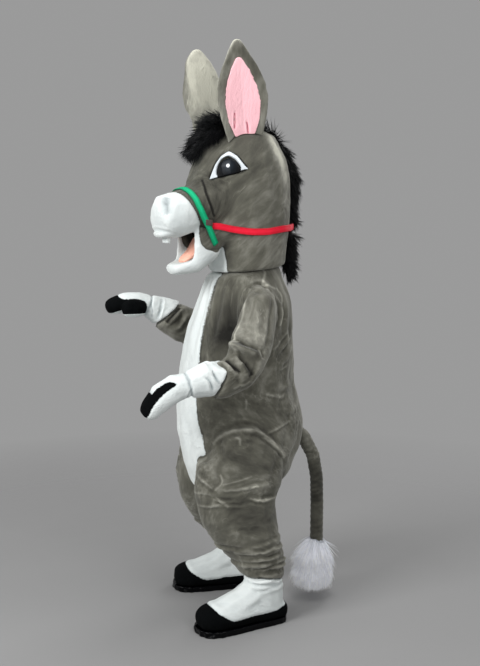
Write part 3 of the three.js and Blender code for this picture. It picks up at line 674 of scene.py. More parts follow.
def around(obj, inside, start, end, tilt):
    """Corners of a fold round a limb. Angles are in degrees: 0 to its left, 90 behind, -90 ahead."""
    mesh = obj.data
    tree = BVHTree.FromPolygons([v.co for v in mesh.vertices], [p.vertices[:] for p in mesh.polygons])
    made = []
    for angle in np.linspace(math.radians(start), math.radians(end), 9):
        way = Vector((math.cos(angle), math.sin(angle), tilt * math.sin(angle))).normalized()
        hit = tree.ray_cast(inside, way)[0]
        if hit is not None:
            made.append(tuple(hit))
    return made


def as_is(*corner):
    return Vector(corner)


ANKLE = (222, -24)  # how far to the side and ahead the middle of an ankle is, in millimetres


def ankle_folded(obj, rows, side, under, wobble=0.003, raised=0):
    """Folds part of the way round an ankle: how far up, from and to which angle, how tilted, how high and
    how wide. Raised moves them up on the left and down on the right."""
    for up, start, end, tilt, height, width in rows:
        limits = (start, end) if side > 0 else (180 - start, 180 - end)
        inside = spot(side * ANKLE[0], ANKLE[1], up + raised * side)
        ring = around(obj, inside, *limits, tilt)
        if len(ring) > 3:
            fold(obj, ring, height, width, under, -side, as_is, wobble)


# %% A finished piece
def worn(piece, slot, finish, nodes=()):
    """Gives a piece its finish and smooth shading, hangs it on the root, and hides the solids that it stands
    for. The slot is not used.
    """
    piece.data.materials.clear()
    piece.data.materials.append(finish)
    piece.data.shade_smooth()
    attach(piece, "root")
    if nodes:
        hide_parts(*nodes)
    print(piece.name, len(piece.data.polygons), "faces")


# %% [markdown]
# ## The suit
# Trunk, sleeves and trouser legs are one sewn suit, so they become one skin. The cloth has some slack,
# which gathers at the elbows, the knees and the ankles. A Cloth simulation finds where: the cloth wants
# to be a few per cent larger than the figure inside, and soft springs hold it near.

# %% Suit skin
SIDES = {"left": 1, "right": -1}
SLEEVES = [f"{part}_{side}" for part in ("upper_arm", "forearm") for side in SIDES]
LEGS = [f"{part}_{side}" for part in ("thigh", "shank") for side in SIDES]
SUIT = ["trunk", "belly_panel", *SLEEVES, *LEGS]
suit = skin("suit", SUIT, 0.0095, 14)
print("suit skin", len(suit.data.vertices), "points")

# %% Slack cloth
HEM_HEIGHT, COLLAR_HEIGHT = 0.215, 1.43  # the cloth is sewn down beyond them, in metres
MOST_SLACK = 0.016  # how far the cloth may leave the figure, in metres
SOFT_HOLD = 0.16  # how firmly the figure holds the cloth between hem and collar
SETTLED = 22  # the frame at which the cloth has come to rest
slack_places = soft_marks([
    (372, 110, 1120, 110, 1.0), (300, 170, 1110, 100, 0.9), (250, 60, 1330, 140, 0.5),
    (-290, 130, 1200, 120, 1.0), (-250, 60, 1330, 140, 0.5), (240, 100, 560, 160, 0.7),
    (-240, 100, 560, 160, 0.7), (230, 0, 300, 140, 1.0), (-230, 0, 300, 140, 1.0),
    (210, -60, 1180, 160, 0.4), (-210, -60, 1180, 160, 0.4),
])
BEHIND_ARM = [(205, -105, 1350, 55, 0.9), (225, -95, 1290, 55, 0.9), (235, -85, 1230, 55, 0.9),
              (232, -70, 1170, 55, 0.9)]
filled_in(suit, 110, nearness(suit, soft_marks(both_sides(BEHIND_ARM))))


def draped(obj):
    points = points_of(obj)
    ends = np.minimum(points[:, 2] - HEM_HEIGHT, COLLAR_HEIGHT - points[:, 2])
    held = np.where(ends < 0.0, 1.0, SOFT_HOLD)
    for name, weights in (("held", held), ("slack", nearness(obj, slack_places))):
        group = obj.vertex_groups.new(name=name)
        for i, weight in enumerate(weights):
            group.add([i], float(weight), "REPLACE")
    cloth = obj.modifiers.new("Cloth", "CLOTH")
    settings = cloth.settings
    settings.quality = 6
    settings.mass = 0.4
    settings.tension_stiffness = settings.compression_stiffness = 25
    settings.shear_stiffness = 8
    settings.bending_stiffness = 6
    settings.vertex_group_mass = "held"
    settings.pin_stiffness = 0.5
    settings.vertex_group_shrink = "slack"
    settings.shrink_min = -0.01
    settings.shrink_max = -0.12
    settings.effector_weights.gravity = 0.25
    cloth.collision_settings.use_self_collision = False
    cloth.point_cache.frame_end = SETTLED
    for step in range(1, SETTLED + 1):
        scene.frame_set(step)
    applied(obj)
    scene.frame_set(1)
    moved = points_of(obj) - points
    far = np.linalg.norm(moved, axis=1)
    print("slack cloth moved", round(float(far.mean() * 1000), 1), "mm on average,",
          round(float(far.max() * 1000), 1), "mm at most")
    move_to(obj, points + moved * np.minimum(1, MOST_SLACK / np.maximum(far, 1e-9))[:, None])
    obj.vertex_groups.clear()


draped(suit)
finer(suit)
rumpled(suit, 0.006, 7.0)
rumpled(suit, 0.0025, 19.0)
# The line of the back: how far ahead and up, how wide, and the pull in metres.
SHOULDER_BLADES = (-155, 1320), 0.080, (0, 0.013, 0)
WAIST = (-190, 975), 0.095, (0, -0.017, 0)
SEAT = (-192, 668), 0.055, (0, -0.021, 0.006)
for pulls, lefts in (((SHOULDER_BLADES, WAIST), (-150, -50, 50, 150)), ((SEAT,), (-150, -75, 0, 75, 150))):
    pulled(suit, [(spot(left, *place), width, by) for left in lefts for place, width, by in pulls])

# %% Seams of the suit
panel_line = between(suit, ["trunk", *LEGS], ["belly_panel"], 12)
haunch_line = between(suit, ["trunk", "belly_panel"], LEGS, 40)
sink(suit, panel_line, 0.003, 0.006)
sink(suit, haunch_line, 0.003, 0.012)

# %% Folds of the sleeves
# Each fold is its corners, its height and width in millimetres, its undercut, and 1 or -1 for the
# undercut's side.
left_sleeve = [
    ([(300, 140, 1192), (329, 126, 1188), (359, 107, 1179), (378, 72, 1166), (380, 31, 1148)],
     27, 14, 0.8, -1),
    ([(340, 120, 1155), (372, 104, 1144), (384, 76, 1118), (376, 50, 1080)], -15, 15, 0, 1),
    ([(322, 172, 1140), (341, 158, 1136), (372, 143, 1122), (387, 124, 1101), (390, 112, 1086)],
     -20, 10, 0, 1),
    ([(322, 180, 1126), (348, 170, 1123), (374, 156, 1112), (389, 138, 1089), (390, 128, 1070)],
     11, 8, 0.5, -1),
    ([(340, 176, 1112), (356, 170, 1104), (372, 160, 1094)], -8, 8, 0, 1),
    ([(352, 119, 1166), (371, 116, 1140), (386, 102, 1114), (389, 84, 1080)], 13, 10, 0.6, -1),
    ([(392, 130, 1066), (386, 118, 1046), (374, 112, 1030)], -7, 11, 0, 1),
    ([(371, 20, 1130), (366, 45, 1082), (352, 90, 1036)], 7, 12, 0.5, 1),
    ([(290, 190, 1090), (330, 190, 1068), (362, 160, 1040)], 5, 9, 0.6, -1),
    ([(226, -71, 1378), (268, -60, 1346), (299, -42, 1299), (328, -28, 1248), (357, -4, 1183),
      (371, 19, 1146)], -5, 8, 0.5, 1),
    ([(238, 20, 1385), (280, 20, 1340), (318, 24, 1280), (345, 40, 1215)], 5, 16, 0.3, -1),
    ([(225, 112, 1290), (236, 122, 1258), (240, 122, 1225), (232, 120, 1200)], -10, 10, 0.3, 1),
    ([(166, 5, 1410), (160, -12, 1421), (158, -39, 1424), (165, -62, 1412), (200, -74, 1388)], 7, 9, 0.6, 1),
    ([(188, 9, 1400), (206, 50, 1345), (212, 88, 1280), (206, 108, 1210)], -8, 12, 0.3, 1),
]
trunk_side = [
    ([(178, -104, 1352), (171, -126, 1321), (179, -129, 1291), (186, -121, 1250), (197, -102, 1201)],
     9, 11, 0.8, 1),
    ([(150, -140, 1340), (160, -148, 1300), (172, -140, 1250), (180, -128, 1210)], -6, 11, 0.3, 1),
    ([(140, -175, 1203), (172, -146, 1170), (202, -101, 1130)], 6, 11, 0.7, -1),
    ([(120, -186, 1150), (170, -152, 1110), (212, -90, 1060)], 5, 13, 0.6, -1),
    ([(200, 100, 1110), (222, 20, 1075), (226, -60, 1068)], 3, 16, 0.5, -1),
    ([(110, -200, 1010), (180, -150, 985), (228, -60, 990)], 4, 14, 0.5, -1),
    ([(190, 130, 1010), (226, 40, 960), (236, -30, 950)], 3, 15, 0.5, -1),
    ([(120, -215, 900), (190, -165, 880), (225, -100, 900)], 4, 13, 0.6, -1),
]
# Gaps to the elbow's crease and to its valleys, which get painted shade.
sleeve_creases = crease_gaps(suit, [
    [(330, 166, 1138), (341, 158, 1136), (372, 143, 1122), (387, 124, 1101), (390, 112, 1086)],
])
sleeve_valleys = crease_gaps(suit, [
    [(335, 112, 1197), (362, 95, 1188), (378, 60, 1172), (378, 30, 1160)],
    [(385, 97, 1122), (388, 84, 1100), (380, 62, 1071)],
    [(-236, 270, 1216), (-246, 222, 1268), (-262, 200, 1290)],
])
# Edges of the armholes, along which a painted highlight goes.
FRONT_EDGE = ((184, 6, 1402), (200, 33, 1371), (232, 54, 1335), (262, 75, 1299), (292, 98, 1245),
              (306, 125, 1205))
BACK_EDGE = ((143, -121, 1393), (151, -145, 1352), (173, -133, 1300), (189, -115, 1237))
SHOULDER = ((110, -60, 1452), (135, -67, 1443), (164, -50, 1408), (161, -81, 1399), (150, -112, 1385))
armhole = (FRONT_EDGE, BACK_EDGE, SHOULDER)
painted_highlight_edges = crease_gaps(suit, [edge for line in armhole for edge in (line, mirrored(line))])
right_sleeve = [
    ([(-236, 270, 1216), (-238, 250, 1238), (-246, 222, 1268), (-262, 200, 1290)], -6, 8, 0, 1),
    ([(-236, 262, 1206), (-236, 240, 1228), (-242, 212, 1256), (-256, 186, 1280)], 9, 8, 0.5, -1),
    ([(-245, 256, 1198), (-238, 240, 1212), (-234, 215, 1230), (-240, 190, 1268)], -9, 8, 0, 1),
    ([(-250, 240, 1182), (-240, 222, 1190), (-233, 196, 1216), (-238, 172, 1250)], 8, 9, 0.5, -1),
    ([(-248, 210, 1172), (-238, 190, 1186), (-233, 165, 1218)], -7, 9, 0, 1),
    ([(-330, 190, 1236), (-352, 150, 1222), (-350, 90, 1205)], 10, 12, 0.7, 1),
    ([(-318, 240, 1190), (-345, 200, 1170), (-340, 150, 1150)], -10, 10, 0.3, 1),
]
LEFT_SHARE = 1.3  # the trunk's folds are higher on the left than on the right
left_side = [(corners, LEFT_SHARE * height, *shape) for corners, height, *shape in trunk_side]
shared = left_sleeve[6:11]  # the folds that both sleeves have, although the arms bend in their own ways
for row in left_sleeve + left_side + mirrored_folds(trunk_side + shared) + right_sleeve:
    fold(suit, *row)

# %% Folds of the trousers
left_leg = [
    ([(191, 172, 761), (233, 136, 814), (254, 80, 834), (264, 21, 829), (251, -30, 804), (235, -83, 754),
      (198, -136, 688)], 8, 11, 0.7, 1),
    ([(211, 141, 842), (237, 71, 868), (253, -8, 852), (244, -60, 806)], 4, 9, 0.5, 1),
    ([(236, 192, 560), (249, 190, 552), (272, 149, 541), (288, 100, 540)], 7, 8, 0.8, -1),
    ([(240, 190, 540), (262, 172, 528), (290, 68, 522), (292, 20, 530)], 5, 8, 0.7, -1),
    ([(240, 190, 622), (266, 148, 610), (277, 77, 632), (273, -5, 638)], -5, 13, 0.5, 1),
    ([(282, 40, 566), (278, -10, 552), (232, -87, 545)], -7, 11, 0.5, 1),
    ([(285, 80, 585), (286, 20, 592), (262, -50, 600)], 5, 11, 0.7, -1),
    ([(250, 130, 480), (285, 60, 455), (285, -20, 430), (262, -80, 420)], 4, 14, 0.5, -1),
    ([(236, 120, 420), (272, 60, 400), (284, -10, 384)], 4, 12, 0.6, -1),
    ([(228, 200, 700), (262, 130, 740), (278, 40, 746)], 4, 18, 0.3, 1),
]
crinkles = [
    [(155, 234, 562), (200, 222, 568), (243, 201, 568), (259, 167, 555), (278, 126, 522)],
    [(178, 224, 513), (220, 212, 518), (250, 188, 523), (270, 147, 533)],
    [(263, 152, 608), (272, 93, 621), (272, 23, 639)],
    [(269, 146, 586), (279, 72, 591), (271, 0, 599)],
    [(281, 41, 551), (274, -15, 536), (219, -89, 535)],
    [(253, 158, 652), (261, 152, 623), (254, 177, 585)],
    [(175, 229, 637), (232, 206, 612), (249, 187, 592)],
    [(263, 98, 803), (267, 76, 795), (266, 80, 764)],
    [(256, -28, 793), (234, -91, 738), (205, -130, 690)],
    [(262, 100, 330), (267, 84, 325), (297, -9, 326), (268, -90, 348)],
    [(241, -49, 804), (232, -99, 822), (199, -159, 844)],
    [(207, -105, 1055), (196, -128, 1060), (181, -151, 1070)],
    [(232, -38, 966), (218, -102, 949), (198, -139, 958)],
    [(234, 42, 952), (236, 42, 930), (236, 42, 905)],
    [(213, -73, 1142), (187, -120, 1179), (148, -169, 1217)],
    [(199, -107, 1125), (175, -146, 1155), (127, -187, 1182)],
    [(383, 141, 1025), (374, 90, 1041), (367, 59, 1052)],
]
crinkles += [mirrored(crinkle) for crinkle in crinkles]
# A painted highlight runs along the crinkles and along the haunch's ridges.
crinkle_gaps = crease_gaps(suit, crinkles)
haunch = left_leg[0][0]
haunch_ridges = crease_gaps(suit, [haunch, mirrored(haunch)])
for crinkle in crinkles:
    fold(suit, crinkle, 3.5, 7, 0.7, wobble=0.008)
for row in left_leg + mirrored_folds(left_leg, 0.85):
    fold(suit, *row)
trouser_ends = [(352, -60, 110, 0.16, 4, 9), (322, -10, 140, 0.06, 8, 8), (318, -130, -20, -0.10, 6, 9),
                (290, -60, 60, 0.12, 8, 8), (276, 40, 170, -0.12, 9, 8), (262, -110, 20, -0.02, 7, 9),
                (246, -30, 100, 0.08, 8, 7), (300, 130, 260, 0.0, 7, 9), (258, 150, 280, 0.04, 8, 9)]
for side in SIDES.values():
    ankle_folded(suit, trouser_ends, side, 0.9, wobble=0.008, raised=4)
crushed = nearness(suit, soft_marks(both_sides([
    (220, 211, 632, 55, 1.0), (214, 225, 580, 40, 0.9), (160, 232, 655, 40, 0.6), (190, -183, 830, 60, 0.9),
    (170, -185, 900, 50, 0.6), (208, -105, 1050, 50, 0.6), (274, -14, 547, 40, 0.7), (255, 30, 800, 50, 0.35),
])))
rumpled(suit, 0.0045, 62.0, crushed)
rumpled(suit, 0.0022, 120.0, crushed)
print("suit folds done")

# %% Nap of the suit
diagonal, across = (0, -0.9, 0.5), (0, 1.0, -0.42)
comb(suit, [
    brushing for side in SIDES.values() for brushing in [
        (spot(side * 290, 30, 1290), 0.13, (side * 0.45, -0.1, -1)),
        (spot(side * 350, 150, 1100), 0.12, (0, 0.9, 0.6)),
        (spot(side * 235, 60, 720), 0.17, diagonal),
        (spot(side * 235, 40, 540), 0.13, (0, 1, 0.1)),
        (spot(side * 240, 0, 380), 0.14, across),
        (spot(side * 150, -150, 1100), 0.18, (0, -0.7, -0.7)),
    ]
])
# Soft marks that lift or lower the nap: some stand for brushed pile, and some are painted light and shade,
# such as paler shoulder tops and darker patches by the arms. Along lines, the seams are darkened, the elbow's
# crease and valleys get painted shade, and the armhole edges, crinkles and haunch ridges get a painted
# highlight.
brushed(suit, soft_marks([
    (177, 93, 1315, 80, -0.08), (184, 127, 1198, 60, -0.32), (200, 90, 1240, 50, -0.22),
    (300, 30, 1290, 70, 0.16), (345, 40, 1215, 50, 0.16), (270, 60, 1345, 50, 0.1), (120, 10, 1450, 70, 0.16),
    (80, -140, 1420, 90, 0.14), (-100, -60, 1450, 100, 0.16), (-300, 30, 1290, 90, 0.14),
    (380, 70, 1125, 30, -0.1), (240, 60, 700, 120, -0.07), (278, 20, 585, 50, 0.12),
    (190, -170, 900, 70, 0.10), (220, -60, 1000, 100, -0.03), (230, 60, 900, 90, 0.04),
    (280, 0, 290, 60, 0.04),
    (-240, 60, 700, 120, -0.08), (-190, -170, 900, 80, 0.08), (-242, 225, 1215, 60, -0.06),
    (169, 111, 1306, 35, -0.12), (115, 156, 1323, 40, 0.08), (325, 93, 1242, 50, 0.08),
    (392, 140, 1068, 20, -0.16), (352, 150, 1146, 20, 0.08), (274, -14, 543, 35, 0.12),
    (278, 60, 460, 90, -0.14), (270, -40, 400, 80, -0.09), (262, 60, 560, 70, -0.06),
]), [(haunch_line, 0.004, 0.08), (panel_line, 0.003, 0.12), (sleeve_creases, 0.005, 0.7),
     (sleeve_valleys, 0.011, 0.50), (painted_highlight_edges, 0.006, -0.32), (crinkle_gaps, 0.0045, -0.17),
     (haunch_ridges, 0.007, -0.16)])
mark(suit, "white_side", panel_line)
crests(suit)
worn(suit, "grey_plush", suit_plush, SUIT)

# %% [markdown]
# ## The head
# The head is plush stretched over a stiff foam shell, so it has no slack: its skin is smoothed only, with
# soft furrows along the seams, the dent of each nostril, and a dart behind the noseband.

# %% Head skin
HEAD = ["head", "muzzle", "jaw", "throat_panel"]
head = skin("head_cover", HEAD, 0.0042, 8)
LIP_STRAP = [(80, 262, 1644, 32, 0.8), (80, 255, 1622, 32, 0.8), (80, 242, 1590, 32, 0.8)]
rounded(head, 46, 1 - nearness(head, soft_marks(both_sides(LIP_STRAP), head_spot)))
white_line = between(head, ["head"], ["muzzle", "jaw", "throat_panel"], 14)
sink(head, white_line, 0.0025, 0.006)
DART = ((60, 222, 1830), (78, 222, 1806), (101, 217, 1761), (111, 205, 1721), (104, 186, 1676))
NOSTRIL = ((42, 366, 1764), (57, 386, 1735), (66, 390, 1712), (72, 388, 1686))
LOWER_LIP = ((-62, 360, 1618), (-40, 388, 1624), (0, 397, 1628), (40, 388, 1624), (62, 360, 1618))
darts, nostrils = [DART, mirrored(DART)], [NOSTRIL, mirrored(NOSTRIL)]
dart_gaps = crease_gaps(head, darts, 0.03, head_spot)
nostril_gaps = crease_gaps(head, nostrils, 0.06, head_spot)
for side, dart, nostril in zip(SIDES.values(), darts, nostrils):
    fold(head, nostril, -19, 21, 0, side, head_spot, 0)
    fold(head, dart, -6, 5, 0.4, 1, head_spot, 0.001)
pulled(head, [(head_spot(side * 34, 384, 1766), 0.024, head_spot(0, 8, 6) - head_spot(0, 0, 0))
              for side in SIDES.values()])
fold(head, LOWER_LIP, -8, 8, 0.3, -1, head_spot, 0.001)
rumpled(head, 0.003, 9.0)
rumpled(head, 0.0012, 34.0)
print("head skin", len(head.data.vertices), "points")

# %% Nap of the head
MOUTH_HALF = 0.070  # the mouth's shadow ends this far from the head's middle, in metres
to_its_left = np.array(head_spot(1, 0, 0) - head_spot(0, 0, 0)) * 1000
aside = np.abs((points_of(head) - np.array(head_spot(0, 0, 0))) @ to_its_left)
mouth_gaps = reach(points_of(head), ["mouth_gauze"]) + np.clip(aside - MOUTH_HALF, 0, 1) * 10
WEDGES = [(97, 178, 1566, 12, 2), (88, 172, 1553, 12, 2)]
grey_wedges = nearness(head, soft_marks(both_sides(WEDGES), head_spot))
comb(head, [(head_spot(side * 110, 330, 1720), 0.10, (0, 0.2, 1)) for side in SIDES.values()],
     (0, -0.8, -0.75))
# A painted highlight lies in a pale band beside the mane, and painted shade under the jaw; the other soft
# marks lift or lower the nap in broad patches. Along lines, the seams and darts are darkened, and painted
# shade lies in the nostrils and in the mouth.
brushed(head, soft_marks(both_sides([
    (140, -62, 1990, 35, 0.46), (156, -85, 1945, 35, 0.60), (162, -108, 1890, 35, 0.52),
    (164, -120, 1830, 35, 0.30), (158, -130, 1750, 35, 0.12), (0, 100, 1750, 400, -0.05),
    (165, -60, 1560, 80, 0.20), (90, 60, 1990, 60, 0.06), (150, 20, 1760, 90, -0.03),
    (120, 130, 1940, 60, 0.09), (82, 200, 1506, 30, -0.14), (128, 60, 1600, 70, 0.15),
    (120, 150, 1747, 70, -0.05),
]), head_spot), [(white_line, 0.003, 0.10), (dart_gaps, 0.0045, 0.5), (nostril_gaps, 0.020, 0.34),
                 (mouth_gaps, 0.022, 1.2)])
mark(head, "white_side", white_line - 0.03 * grey_wedges)
crests(head)
worn(head, "grey_plush", suit_plush, HEAD)

# %% [markdown]
# ## Mitts and cuffs
# Each mitt is white plush with a black hoof on the fingers and on the thumb. The cuff is gathered by an
# elastic at the wrist, and it creases where the arm bends.

# %% Mitts
wrist_folds = {
    "left": [
        ([(378, 221, 1100), (392, 214, 1082), (394, 202, 1060), (380, 190, 1040)], -9, 7),
        ([(390, 250, 1072), (395, 232, 1056), (387, 218, 1019)], -9, 7),
        ([(340, 250, 1110), (362, 240, 1104), (386, 238, 1080)], 6, 8),
        ([(300, 230, 1104), (330, 215, 1112), (352, 200, 1112)], -8, 7),
        ([(384, 300, 1030), (372, 310, 1000), (350, 312, 980)], -5, 6),
    ],
    "right": [
        ([(-262, 300, 1238), (-270, 290, 1270), (-290, 285, 1292)], -8, 7),
        ([(-258, 330, 1240), (-262, 322, 1275), (-285, 318, 1296)], -6, 6),
        ([(-262, 275, 1222), (-258, 262, 1256), (-276, 250, 1284)], 6, 8),
    ],
}
PALM_EDGE = 0.010  # the palm side of the raised mitt is white, this far up its edge
for side in SIDES:
    parts = [f"{part}_{side}" for part in ("cuff", "mitt", "hoof", "thumb", "thumb_hoof")]
    mitt = skin(f"mitt_cover_{side}", parts, 0.0032, 40)
    black_line = between(mitt, parts[:2] + [f"thumb_{side}"], [f"hoof_{side}", f"thumb_hoof_{side}"], 22)
    wrist_line = between(mitt, parts[:1], parts[1:], 8)
    sink(mitt, wrist_line, 0.006, 0.006)
    sink(mitt, black_line, 0.0015, 0.003)
    valleys = crease_gaps(mitt, [corners for corners, height, width in wrist_folds[side] if height < 0])
    for corners, height, width in wrist_folds[side]:
        fold(mitt, corners, height, width, 0.4)
    rumpled(mitt, 0.0028, 24.0)
    comb(mitt, (), (0, 1, 0.4), 0.5)
    # The wrist and the edge of each hoof are darkened as seams, and the valleys of the folds get painted
    # shade.
    brushed(mitt, [], [(wrist_line, 0.005, 0.28), (black_line, 0.002, 0.08), (valleys, 0.004, 0.22)])
    lowest = min(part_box(f"{part}_{side}")[0][2] for part in ("hoof", "thumb_hoof"))
    palm = np.clip((lowest + PALM_EDGE - points_of(mitt)[:, 2]) / 0.006, 0, 1) * (side == "right")
    mark(mitt, "black_side", black_line - 0.02 * palm)
    crests(mitt)
    worn(mitt, "white_plush", mitt_plush, parts)

# %% [markdown]
# ## Shoe covers
# White plush gaiters with a black plush band round the foot, on a sole wrapped in shiny black vinyl that
# is gathered at the toe and crumples there.

# %% Shoe covers and soles
patent = speckled("black patent", 30.0, (0.3, "#010102"), (0.8, "#050608"), Roughness=0.1,
                  Coat_Weight=0.06, Coat_Roughness=0.04, Specular_IOR_Level=0.1)
patent.bump(patent.noise(patent.place(), 34.0, 3.0, 0.6), 1.0, 0.004)
BAND_RISE = 0.018  # how much higher the black band stands behind the toes, in metres
gaiter_folds = [(196, -60, 100, 0.05, 5, 8), (168, -100, 60, -0.12, 5, 9), (150, -20, 130, 0.1, 4, 9)]
for side, sign in SIDES.items():
    parts = [f"gaiter_{side}", f"shoe_{side}"]
    cover = skin(f"shoe_cover_{side}", parts, 0.004, 30)
    toe, heel = (corner[1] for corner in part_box(parts[1]))
    black_line = between(cover, parts[:1], parts[1:], 22)
    black_line += BAND_RISE * rising((points_of(cover)[:, 1] - toe) / (heel - toe), 0.35, 0.2)
    sink(cover, black_line, 0.003, 0.005)
    ankle_folded(cover, gaiter_folds, sign, 0.8)
    rumpled(cover, 0.003, 15.0)
    comb(cover, (), (0, 1, -0.3), 0.5)
    brushed(cover, [], [(black_line, 0.003, 0.12)])
    mark(cover, "black_side", black_line)
    crests(cover)
    worn(cover, "white_plush", mitt_plush, parts)
    sole = skin(f"shoe_sole_{side}", [f"sole_{side}"], 0.003, 6)
    middle = Vector(np.mean([c[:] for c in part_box(f"sole_{side}")], axis=0))
    crumpled = np.clip((middle.y - points_of(sole)[:, 1]) / 0.12, 0.25, 1)
    rumpled(sole, 0.005, 48.0, crumpled)
    flat = points_of(sole)
    flat[:, 2] = np.maximum(flat[:, 2], 0.0)
    move_to(sole, flat)
    worn(sole, "black_patent", patent.material, [f"sole_{side}"])

# %% [markdown]
# ## Ears
# Two layers of plush over a wire rim. The back is brushed pale. The front has painted light, brightest
# low down and darker towards the tip. The pink lining is gathered at its foot, with painted shade in its
# pleats.

# %% Ears
FAR_EAR_BEND = [((-97, 180, 2325), 0.060, -0.024), ((-90, 205, 2225), 0.050, -0.008),
                ((-100, 100, 2330), 0.055, 0.010), ((-92, 195, 2090), 0.050, 0.016)]
PLEATS = [[(129, 108, 2092), (126, 105, 2060), (118, 102, 2026)],
          [(133, 54, 2060), (131, 48, 2036), (131, 44, 2010)]]
for side, sign in SIDES.items():
    ear = outline_rounded(skin(f"ear_cover_{side}", [f"ear_{side}"], 0.0036, 10), 90)
    lining = outline_rounded(skin(f"ear_pink_{side}", [f"ear_lining_{side}"], 0.0021, 4), 120)
    if side == "right":
        pulled(ear, [(spot(*place), width, (0, back, 0)) for place, width, back in FAR_EAR_BEND])
    rumpled(ear, 0.002, 16.0)
    lining_points = points_of(lining)
    lining_middle = lining_points.mean(0)
    facing = own_ways(lining_points)[2]
    ear_points = points_of(ear)
    facing *= np.sign(facing @ (lining_middle - ear_points.mean(0)))
    behind = np.clip(-((ear_points - lining_middle) @ facing - 0.002) / 0.014, 0, 1)
    height = (ear_points[:, 2] - ear_points[:, 2].min()) / np.ptp(ear_points[:, 2])
    # Painted light on the front of the ear, brightest low down and darker towards the tip.
    rim_light = 0.10 + 0.16 * bell(height - 0.25, 0.22) - 0.28 * rising(height, 0.5, 0.4)
    pale = behind * rising(height, 0.16, 0.28) * 0.52 + rim_light * (1 - behind)
    comb(ear, (), (0, 0, 1), 0.4)
    mark(ear, "brushed", averaged(pale, edges_of(ear), 6))
    all_grey(ear)
    crests(ear)
    worn(ear, "grey_plush", suit_plush, [f"ear_{side}"])
    pleats = PLEATS if sign > 0 else [mirrored(pleat) for pleat in PLEATS]
    for pleat in pleats:
        fold(lining, pleat, -7, 5, 0.3, 1, head_spot, 0.001)
    comb(lining, (), (0, 0, 1), 0.35)
    foot = np.clip(1 - (points_of(lining)[:, 2] - points_of(lining)[:, 2].min()) / 0.05, 0, 1)
    gathers = crease_gaps(lining, pleats, 0.03, head_spot)
    # The lining is darker towards its foot, and painted shade lies in its pleats.
    mark(lining, "brushed", 0.06 - 0.10 * foot - 0.55 * bell(gathers, 0.0035))
    crests(lining, full=0.003)
    worn(lining, "pink_plush", ear_pink, [f"ear_lining_{side}"])

# %% [markdown]
# ## Eyes
# Each eye is a stiff white pad with a thin black edge, and a dark iris that carries one small white dot.

# %% Eyes
eye_white = Finish("eye white", Roughness=0.35)
rim = (eye_white.attribute("inside") * (1 / 0.0012) - 1.6).clamped()
eye_white.use(Base_Color=eye_white.mix(rim, paint("#08090a"), paint("#d3dadf")))
eye_dark = Finish("eye dark", Roughness=0.4, Specular_IOR_Level=0.15)
glint = (4.0 - eye_dark.attribute("from_glint") * (1 / 0.0021)).clamped()
# The iris is lighter near the white dot, a painted soft highlight, and darker towards its edge.
iris = eye_dark.ramp(eye_dark.attribute("from_glint") * (1 / 0.06), (0.2, "#1c242b"), (0.45, "#0a1016"),
                     (0.7, "#020406"))
eye_dark.use(Base_Color=eye_dark.mix(glint, iris, paint("#f6f8fb")))
EYE_CORNER = 0.010  # how much of a corner stays sharp, in metres
DROP = 0.0065  # how much further down the lower edge of the iris goes than its top


def rounded_eye(obj, rounds):
    """Rounds a flat piece, but not its two corners, which are the ends of its long way."""
    points = points_of(obj)
    along = (points - points.mean(0)) @ own_ways(points)[0]
    corners = [(points[end], EYE_CORNER, 1) for end in (along.argmin(), along.argmax())]
    return outline_rounded(obj, rounds, 1 - nearness(obj, corners)), [corner for corner, _, _ in corners]


for side, sign in SIDES.items():
    white, _ = rounded_eye(skin(f"eye_patch_{side}", [f"eye_{side}"], 0.0016, 4), 400)
    pulled(white, [(points_of(white)[points_of(white)[:, 2].argmax()], 0.035, (0, 0, 0.005))])
    mark(white, "inside", reach(points_of(white), ["head"]))
    worn(white, "eye_white", eye_white.material, [f"eye_{side}"])
    dark, (first, last) = rounded_eye(skin(f"eye_pupil_{side}", [f"iris_{side}"], 0.0016, 4), 400)
    points = points_of(dark)
    thin = own_ways(points)[2]
    down = np.array((0, 0, -1.0)) + thin * thin[2]
    edge = (last - first) / np.linalg.norm(last - first)
    above = -((points - first) - ((points - first) @ edge)[:, None] * edge) @ down
    move_to(dark, points + (0.003 + DROP * np.clip(1 - above / 0.03, 0, 1))[:, None] * down)
    glint_place = np.array(head_spot(sign * 129, 140, 1883))
    mark(dark, "from_glint", np.linalg.norm(points_of(dark) - glint_place, axis=1))
    worn(dark, "eye_dark", eye_dark.material, [f"iris_{side}"])

# %% [markdown]
# ## Mouth
# A fleece tongue with a groove, one felt tooth, and black gauze at the back of the mouth, through which
# the wearer looks out.

# %% Tongue, tooth and gauze
tongue = skin("tongue_pad", ["tongue"], 0.003, 14)
plain_pile(tongue)
worn(tongue, "tongue_fleece", tongue_fleece, ["tongue"])
tooth = skin("front_tooth", ["teeth_upper"], 0.0016, 6)
plain_pile(tooth)
worn(tooth, "white_felt", tooth_felt, ["teeth_upper"])

gauze = speckled("black gauze", 400.0, (0.3, "#010101"), (0.8, "#060606"), Roughness=0.9,
                 Specular_IOR_Level=0.05)
gauze_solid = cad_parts["mouth_gauze"]
gauze_solid.data.materials.clear()
gauze_solid.data.materials.append(gauze.material)

# %% [markdown]
# ## Tail
# A stuffed plush tube. The stuffing is pushed in bit by bit, which leaves slight rings.

# %% Tail
tail = skin("tail_cover", ["tail"], 0.0036, 24)
tail_points = points_of(tail)
RING_GAP = 0.026  # from one ring of the stuffing to the next, in metres
lengthwise = (tail_points[:, 2] - 0.5 * tail_points[:, 1]) * 2 * math.pi / RING_GAP
rings = 0.0008 * np.sin(lengthwise + 5 * uneven(tail_points, 12))
move_to(tail, tail_points + normals_of(tail) * rings[:, None])
comb(tail, (), (1, 0.9, 0.1), 0.4)
